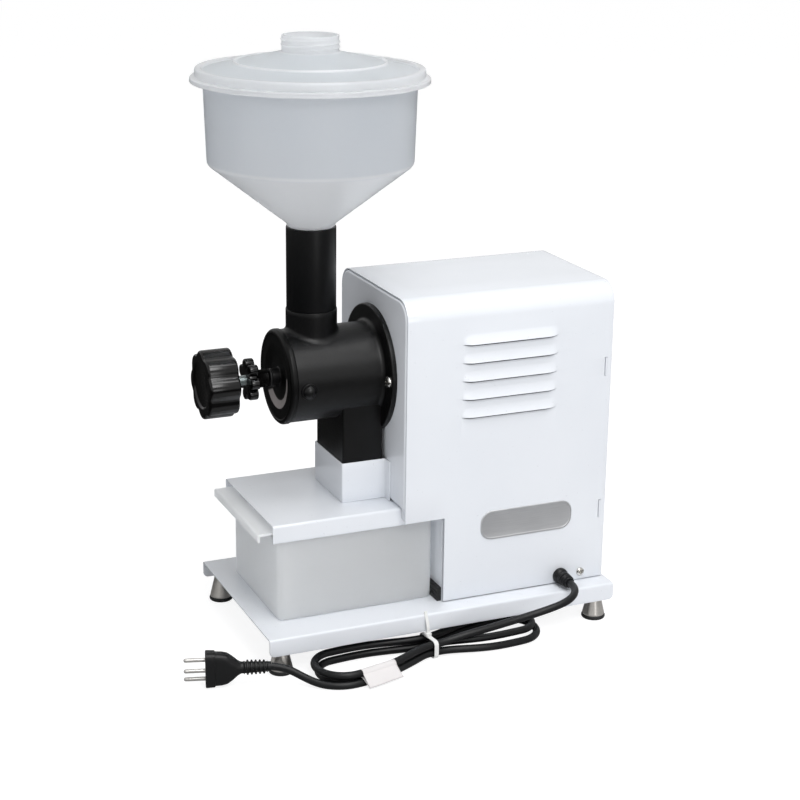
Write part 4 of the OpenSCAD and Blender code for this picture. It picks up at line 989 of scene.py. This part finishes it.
def grip(front, back, edge):
    """Rows of a lobed grip with both its edges rounded."""
    inset, depth = quarter_round(edge)
    ahead = [(1, 0, i, front + d) for i, d in zip(inset, depth)]
    return ahead + [(1, 0, d, back - i) for i, d in zip(inset, depth)]


def plain(*rings):
    """Rows of plain rings, each of a radius and a height."""
    return [(0, radius, 0, height) for radius, height in rings]


def knob(rows, outline):
    """Rows are (share, plain radius, inset, height), with radius = share (outline - inset) +
    (1 - share) plain radius."""
    share, radius, inset, height = (np.array(column, float)[:, None] for column in zip(*rows))
    radius = share * (outline - inset) + (1 - share) * radius
    return [patch(spun(radius, height, SHAFT, BACK, KNOB_SIDES), False, True)]


print("lobes reach", round(lobed(*KNOB_LOBES).max(), 1), "mm")

# %% Adjusting knob and lock knob
KNOB_DEEP, KNOB_EDGE, KNOB_TURN = 30, 2.6, math.radians(-4.5)
front = span("adjusting_knob")[0, 1]
back, hub = front + KNOB_DEEP, front + KNOB_DEEP + 2.5
rows = plain((0, front + 1.6), (20.6, front + 1.6), (21.4, front + 1.3), (22.6, front + 0.2),
             (23.2, front))
rows += [(0.3, 23.4, KNOB_EDGE + 0.4, front)] + grip(front, back, KNOB_EDGE)
rows += plain((14.2, back), (13, back + 0.6), (12.6, hub), (5.0, hub), (0, hub))
piece("fluted_knob", knob(rows, lobed(*KNOB_LOBES, KNOB_TURN)), PHENOLIC, "adjusting_knob")

LOCK_DEEP, LOCK_EDGE = 9, 1.6
front, hub = span("lock_knob")[:, 1]
back = front + LOCK_DEEP
rows = plain((STUD_HOLE, hub), (STUD_HOLE, front + 0.3), (5.6, front), (9.4, front))
rows += grip(front, back, LOCK_EDGE)
rows += plain((10.2, back), (9.4, back + 1.2), (8.6, back + 3), (8.6, hub - 2), (7.4, hub - 0.3),
              (7.1, hub), (STUD_HOLE, hub))
piece("lock_star", knob(rows, lobed(*LOCK_LOBES)), PHENOLIC, "lock_knob")

# %% Stud
STUD_LOW, STUD_HIGH = span("adjusting_stud")[:, 1]
STUD_R, STUD_PITCH, THREAD_DEPTH, STUD_SIDES = 4.98, 1.5, 0.75, 40
TIP_R, PLAIN_R, PLAIN_LENGTH = 4.2, 4.0, 8


def helix(height, pitch, sides):
    """How far each point of a turned surface lies along a thread: h / pitch - a / 2 pi, less its whole
    turns."""
    return (height[:, None] / pitch - full_turn(sides) / (2 * np.pi)) % 1


y = np.arange(STUD_LOW + 1, STUD_HIGH - PLAIN_LENGTH, STUD_PITCH / 8)
phase = helix(y, STUD_PITCH, STUD_SIDES)
thread = STUD_R - THREAD_DEPTH * (1 - np.clip(2.4 * np.abs(phase - 0.5), 0, 1))
radius = np.pad(thread, ((1, 2), (0, 0)), constant_values=((TIP_R, PLAIN_R), (0, 0)))
height = np.r_[STUD_LOW, y, y[-1] + 0.6, STUD_HIGH]
stud = solid(spun(radius, height, SHAFT, BACK, STUD_SIDES))
piece("threaded_stud", [stud], ZINC, "adjusting_stud", sharp=60)

# %% [markdown]
# ## Hopper and lid
# Both are blow-moulded or pressed from natural polypropylene, so they are turned profiles with a wall
# of about 2 mm and soft corners everywhere. The wall is whiter at the rims, creases and neck, where it
# is thick, and all down the cone, where the whiteness is painted light for light let through it. The
# lid's neck has a jar thread outside: a ridge whose height depends on height less angle, as on the stud,
# but coarse and rounded.

# %% Hopper
(_, _, SPOUT_LOW), (RIM_R, _, RIM_Z) = span("hopper")
CONE_R, CONE_Z, WALL, SPOUT_R, SPOUT_IN, RIM_H, HOPPER_SIDES = 97.0, 467.0, 2.0, 20.4, 18.5, 4.5, 180


def hopper_thick_and_painted_light(f):
    """The thick rim and crease between bowl and cone, by height, and the whole cone, whose whiteness is
    painted light for light let through it.
    """
    z = f.axis("Z")
    rim = f.past(z, RIM_Z - 6.5, RIM_Z - 5)
    crease = f.past(z, CONE_Z - 2.5, CONE_Z - 1) * (1 - f.past(z, CONE_Z + 0.5, CONE_Z + 2))
    # the last term whitens the whole cone: painted light, for light let through it
    return rim + crease + (1 - f.past(z, CONE_Z - 3, CONE_Z - 2))


HOPPER_PLASTIC = milky_plastic("milky_hopper", "dde2e8", "f3f5f8", 0.75, 0.28, 0.3, hopper_thick_and_painted_light, 0.5)
bowl = soften([(SPOUT_IN, SPOUT_LOW, 0.4), (SPOUT_R, SPOUT_LOW, 0.4), (SPOUT_R, TUBE_TOP + 0.3, 0.4),
               (22.5, TUBE_TOP + 0.4, 0.6), (23.2, TUBE_TOP + 3.2, 2.0),
               (CONE_R - 1.0, CONE_Z - 1.2, 3.0), (CONE_R + 1.4, RIM_Z - 3.6, 1.6),
               (RIM_R - 2.2, RIM_Z - 2.6, 0.4), (RIM_R - 2.0, RIM_Z - RIM_H, 0.4),
               (RIM_R, RIM_Z - RIM_H, 0.6), (RIM_R, RIM_Z, 1.6), (CONE_R, RIM_Z, 1.6),
               (CONE_R - WALL, CONE_Z + 0.4, 3.0), (SPOUT_IN, TUBE_TOP + 4.4, 3.0)], steps=7)
piece("bean_hopper", [turned(bowl, HOPPER_AXIS, UP, HOPPER_SIDES)], HOPPER_PLASTIC, "hopper")

# %% Lid
LID_R, _, LID_HIGH = span("hopper_lid")[1]
SEAT_Z, MOUTH_R, MOUTH_T, JAR_PITCH, JAR_RIDGE = RIM_Z + 0.3, 26.3, 2, 4.6, 1.15
LID_TOP, MOUTH_IN, NECK_LOW = LID_HIGH - SEAT_Z, MOUTH_R - MOUTH_T, 15


def lid_thick(f):
    """The outer rim, the neck in part and the crease of the dome, by distance from the hopper's axis."""
    radius = away(f.axis("X"), f.axis("Y", HOPPER_AXIS[1]))
    crease = f.past(radius, 67, 69) * (1 - f.past(radius, 70.5, 71.5))
    return f.past(radius, 98.5, 100) + (1 - f.past(radius, 28.2, 29.4)) * 0.6 + crease


LID_PLASTIC = milky_plastic("milky_lid", "d8dfe3", "eceff2", 0.7, 0.28, 0.3, lid_thick, 0.5)
outer = soften([(94, -5, 0.4), (96, -5, 0.4), (96, 0, 0.6), (LID_R, 0, 1.2), (LID_R, 8, 2.2),
                (100, 8.2, 1.2), (98.6, 5.6, 1.6), (71, 12.2, 1.4), (70.2, 14.4, 0.9), (67, 13.1, 1.6),
                (30, 21.4, 3.0), (MOUTH_R, 22.6, 0.5)], steps=7, loop=False)
neck_z = np.arange(23.2, LID_TOP - 0.9, 0.45)
mouth = soften([(MOUTH_R, LID_TOP - 1, 0), (MOUTH_R, LID_TOP, 0.7), (MOUTH_IN, LID_TOP, 0.7),
                (MOUTH_IN, NECK_LOW, 0)], loop=False)
inner = soften([(MOUTH_IN, NECK_LOW, 0.3), (MOUTH_R - 1.2, 14.5, 0.3), (MOUTH_R - 0.2, 15.4, 0.3),
                (MOUTH_R + 0.4, 20, 0.8), (67, 11, 2.0), (94, 4.4, 1.6), (94, -5, 0)],
               steps=7, loop=False)
profile = np.vstack([outer, np.column_stack([0 * neck_z + MOUTH_R, neck_z]), mouth, inner])
ridge = JAR_RIDGE * np.exp(-((helix(neck_z, JAR_PITCH, HOPPER_SIDES) - 0.5) / 0.17) ** 2)
radius = np.repeat(profile[:, :1], HOPPER_SIDES, 1)
radius[len(outer):len(outer) + len(neck_z)] += ridge * window(neck_z, 24.5, LID_TOP - 2.2, 2)[:, None]
lid = spun(radius, profile[:, 1] + SEAT_Z, HOPPER_AXIS, UP, HOPPER_SIDES)
piece("hopper_cap", [patch(lid, True, True)], LID_PLASTIC, "hopper_lid")

# %% [markdown]
# ## The drawer
# A moulded box: its wall is one line that goes from the middle of the floor outside, up the side, over
# the rim and down inside to the middle of the floor again. That line is carried round a rectangle with
# round corners. The ledge to pull it by is a hooked section carried along X with closed ends.

# %% Drawer
(_, LEDGE_Y, DRAWER_FLOOR), (DRAWER_HALF, DRAWER_BACK, LEDGE_TOP) = span("drawer")
DRAWER_FRONT, DRAWER_RIM, DRAWER_T, DRAWER_CORNER, FLOOR_EDGE = -146.0, 126.0, 2.2, 8.0, 3.0
LEDGE_LIP, LEDGE_IN, LEDGE_ROOT = 8, 1.5, DRAWER_RIM - 6
half_d, drawer_mid = (DRAWER_BACK - DRAWER_FRONT) / 2, (DRAWER_BACK + DRAWER_FRONT) / 2


def drawn_in(half_w, half_h, corner, middle, insets):
    """Rectangles with round corners about a middle, each drawn in by an inset."""
    return [round_outline(half_w - i, half_h - i, corner - i) + middle for i in insets]


inset, rise = quarter_round(FLOOR_EDGE)
inset, height = np.vstack([
    np.column_stack([inset, DRAWER_FLOOR + rise]),
    (0, DRAWER_RIM - 0.6), (0.5, DRAWER_RIM), (DRAWER_T - 0.5, DRAWER_RIM), (DRAWER_T, DRAWER_RIM - 0.6),
    np.column_stack([DRAWER_T + rise, DRAWER_FLOOR + DRAWER_T + inset])]).T
box = solid(stacked(drawn_in(DRAWER_HALF, half_d, DRAWER_CORNER, [0, drawer_mid], inset), height, 2))
wall_in, lip_in, under = DRAWER_FRONT + DRAWER_T, LEDGE_Y + DRAWER_T, LEDGE_TOP - DRAWER_T
hook = soften([(wall_in, LEDGE_ROOT, 0.2), (wall_in, LEDGE_TOP, 1.0), (LEDGE_Y, LEDGE_TOP, 1.8),
               (LEDGE_Y, LEDGE_TOP - LEDGE_LIP, 0.8), (lip_in, LEDGE_TOP - LEDGE_LIP, 0.8),
               (lip_in, under, 1.0), (DRAWER_FRONT, under, 1.4), (DRAWER_FRONT, LEDGE_ROOT, 0.2)])
ledge = bar(hook, LEDGE_IN - DRAWER_HALF, DRAWER_HALF - LEDGE_IN)
piece("grounds_drawer", [box, *ledge], DRAWER_PLASTIC, "drawer")

# %% [markdown]
# ## Screws, plate and drawer stop
# A pan-head screw is a dome with a cross pressed into it: a height over a disc, less a soft-edged cross.
# The plate on the side stays blank, so it gets a raised bead and a brushed face. The stop behind the
# drawer is a rubber strip with two grooves.

# %% Screws
SCREW_SIDES, COVER_SCREW, FLANGE_SCREW_X = 120, (170.0, 48.0), 54.0


def screw_head(centre, axis, radius, height, cross):
    """Height over a disc: a dome h (1 - 0.55 (r/R)^3) that drops at its rim, less a recess in the shape
    of a cross."""
    share = np.r_[np.linspace(0, 0.92, 40), 0.97, 1.0, 1.0][:, None]
    r, a = share * radius, full_turn(SCREW_SIDES)
    x, y = np.abs(r * np.cos(a)), np.abs(r * np.sin(a))
    recess = smoothstep((0.55 - np.minimum(x, y)) / 0.25) * smoothstep((cross - np.maximum(x, y)) / 0.5)
    dome = height * (1 - 0.55 * share ** 3) - 0.55 * height * recess
    dome[-2:] = [[0.35 * height], [0.0]]
    return patch(spun(r, dome, centre, axis, SCREW_SIDES), False, True)


on_cover = [screw_head((side * COVER_HALF, *COVER_SCREW), (side, 0, 0), 4.2, 2.8, 2.3)
            for side in (-1, 1)]
on_flange = [screw_head((side * FLANGE_SCREW_X, FLANGE_FRONT, SHAFT_Z), (0, -1, 0), 5.4, 3.4, 2.9)
             for side in (-1, 1)]
piece("cover_pan_screws", on_cover, NICKEL, "cover_screws", closed=False)
piece("flange_pan_screws", on_flange, NICKEL, "flange_screws", closed=False)
dome = soften([(0, 0, 0), (6.6, 0, 0.2), (6.4, 1.6, 1.2), (3.2, 4.6, 1.6), (0, 5.2, 0)],
              steps=7, loop=False)
piece("guide_bolt", [turned(dome + [0, BOSS_TOP], BOSS_AT, ACROSS, 64)], CASTING, "guide_screw")

# %% Plate and drawer stop
PLATE_LOW, PLATE_HIGH = span("blank_plate")
PLATE_CORNER = 12
_, *plate_mid = (PLATE_LOW + PLATE_HIGH) / 2
_, half_y, half_z = (PLATE_HIGH - PLATE_LOW) / 2
bead = [(2.6, 0.62), (2.2, 0.72), (1.8, 0.98), (0.8, 1.0), (0.2, 0.8), (0, 0.45), (0, 0)]
inset, rise = np.transpose(bead)
plate = solid(stacked(drawn_in(half_y, half_z, PLATE_CORNER, plate_mid, inset), PLATE_LOW[0] + rise, 0))
piece("bare_plate", [plate], PLATE_METAL, "blank_plate")

STOP_LOW, STOP_HIGH = span("drawer_stop")
stop_z = STOP_LOW[2] + np.array([0, 0, 4, 4.6, 5.4, 6, 8.4, 9, 9.8, 10.4, 14])
stop_y = STOP_LOW[1] + np.array([4.5, 0, 0, 0.8, 0.8, 0, 0, 0.8, 0.8, 0, 0])
strip = soften(np.vstack([np.column_stack([stop_y, stop_z]), STOP_HIGH[1:]]), 0.25, steps=3)
piece("rubber_stop", bar(strip, STOP_LOW[0], STOP_HIGH[0]), RUBBER, "drawer_stop")

# %% [markdown]
# ## Pieces whose solids are already right
# The rear panel, nuts, bolts and everything inside the housing keep their own shapes. They only need
# their finishes, so a table gives each finish its nodes.

# %% Finishes for the other nodes
KEPT = [
    (PAINT, "rear_panel support_bracket cover_tabs"),
    (ZINC, "foot_bolts weld_nuts bracket_bolts bracket_nuts motor_bolts stud_clip capacitor_clip"),
    (CAST_ALUMINIUM, "front_end_bell rear_end_bell"),
    (ENAMEL, "motor_shell"),
    (GROUND_STEEL, "front_bearing rear_bearing motor_shaft feed_auger burr_holder burr_carrier"),
    (LAMINATION, "stator_core rotor_core"),
    (COPPER, "stator_windings"),
    (BURR_STEEL, "rotating_burr fixed_burr"),
    (PHENOLIC, "cooling_fan switch_body switch_rocker terminal_block"),
    (CAN_PLASTIC, "run_capacitor"),
    (RUBBER, "lock_washer"),
]
for finish, names in KEPT:
    for name in names.split():
        for place in frame["nodes"][name].material_slots:
            place.material = finish
print("kept nodes:", sum(len(names.split()) for _, names in KEPT))

# %% [markdown]
# ## Floor, light and background
# The machine stands on a white sweep in soft light from above and from the side of the lead, so the
# front is shaded. Camera and transmitted rays see plain white. Glossy rays see a softly lit room, and a
# floor that is half light in a pool round the machine and dark further off, so that black parts stay
# black between the highlights of the three lamps. The pool is in millimetres, the rest in metres.

# %% Floor
FLOOR_HALF, FLOOR_WHITE, FLOOR_GLOW, FLOOR_GLOSS = 6.0, 1.36, 0.62, 0.03
POOL_AT, POOL_EDGE, POOL_DARK = (150, 50), (320, 480), 0.5
corners = np.array([(-1, -1, 0), (1, -1, 0), (1, 1, 0), (-1, 1, 0)]) * FLOOR_HALF
floor_mesh = bpy.data.meshes.new("floor")
floor_mesh.from_pydata(corners.tolist(), [], [(0, 1, 2, 3)])
floor = bpy.data.objects.new("floor", floor_mesh)
bpy.context.collection.objects.link(floor)

sweep = Finish("white_sweep", {"Base Color": (0.86, 0.86, 0.87, 1), "Roughness": 0.9,
                               "Specular IOR Level": 0.1})
white, dim = (sweep.node("ShaderNodeEmission", {}, {"Strength": glow})
              for glow in (FLOOR_WHITE, FLOOR_GLOSS))
lit = sweep.cover((sweep.rays("Camera") + sweep.rays("Transmission")) * FLOOR_GLOW, white)
outside = sweep.past(away(sweep.axis("X", POOL_AT[0]), sweep.axis("Y", POOL_AT[1])), *POOL_EDGE)
sweep.cover(sweep.rays("Glossy") * (POOL_DARK + outside * (1 - POOL_DARK)), dim, lit)
floor_mesh.materials.append(sweep.material)
print("floor:", 2 * FLOOR_HALF, "m wide")

# %% Room and lamps
ROOM_GLOSS, ROOM_LIGHT = 0.65, 0.46
LAMP_TARGET = np.array([0.0, 0.0, 0.25])
world = bpy.data.worlds.new("studio")
world.use_nodes = True
sky = Nodes(world.node_tree)
seen = sky.rays("Camera") + sky.rays("Transmission")
strength = ROOM_LIGHT + seen * (1 - ROOM_LIGHT) + sky.rays("Glossy") * (ROOM_GLOSS - ROOM_LIGHT)
sky.join(sky.tree.nodes["Background"], {"Color": (1, 1, 1, 1), "Strength": strength})
bpy.context.scene.world = world


def soft_box(name, place, size, watts):
    """A square area lamp that faces the machine's middle."""
    lamp = bpy.data.lights.new(name, "AREA")
    lamp.size, lamp.energy = size, watts
    made = bpy.data.objects.new(name, lamp)
    way = LAMP_TARGET - place
    yaw, tilt = math.atan2(way[1], way[0]), math.acos(-way[2] / np.linalg.norm(way))
    turn = Matrix.Rotation(yaw - math.pi / 2, 4, "Z") @ Matrix.Rotation(tilt, 4, "X")
    made.matrix_world = Matrix.Translation(place) @ turn
    bpy.context.collection.objects.link(made)
    print(name, watts, "W")


soft_box("side_light", (1.6, -0.1, 1.7), 0.9, 18)
soft_box("top_light", (0.45, 0.15, 1.9), 0.9, 12.5)
soft_box("low_light", (2.4, 0.1, 0.4), 0.6, 3)
bpy.context.scene.view_settings.view_transform = "Standard"

# %% [markdown]
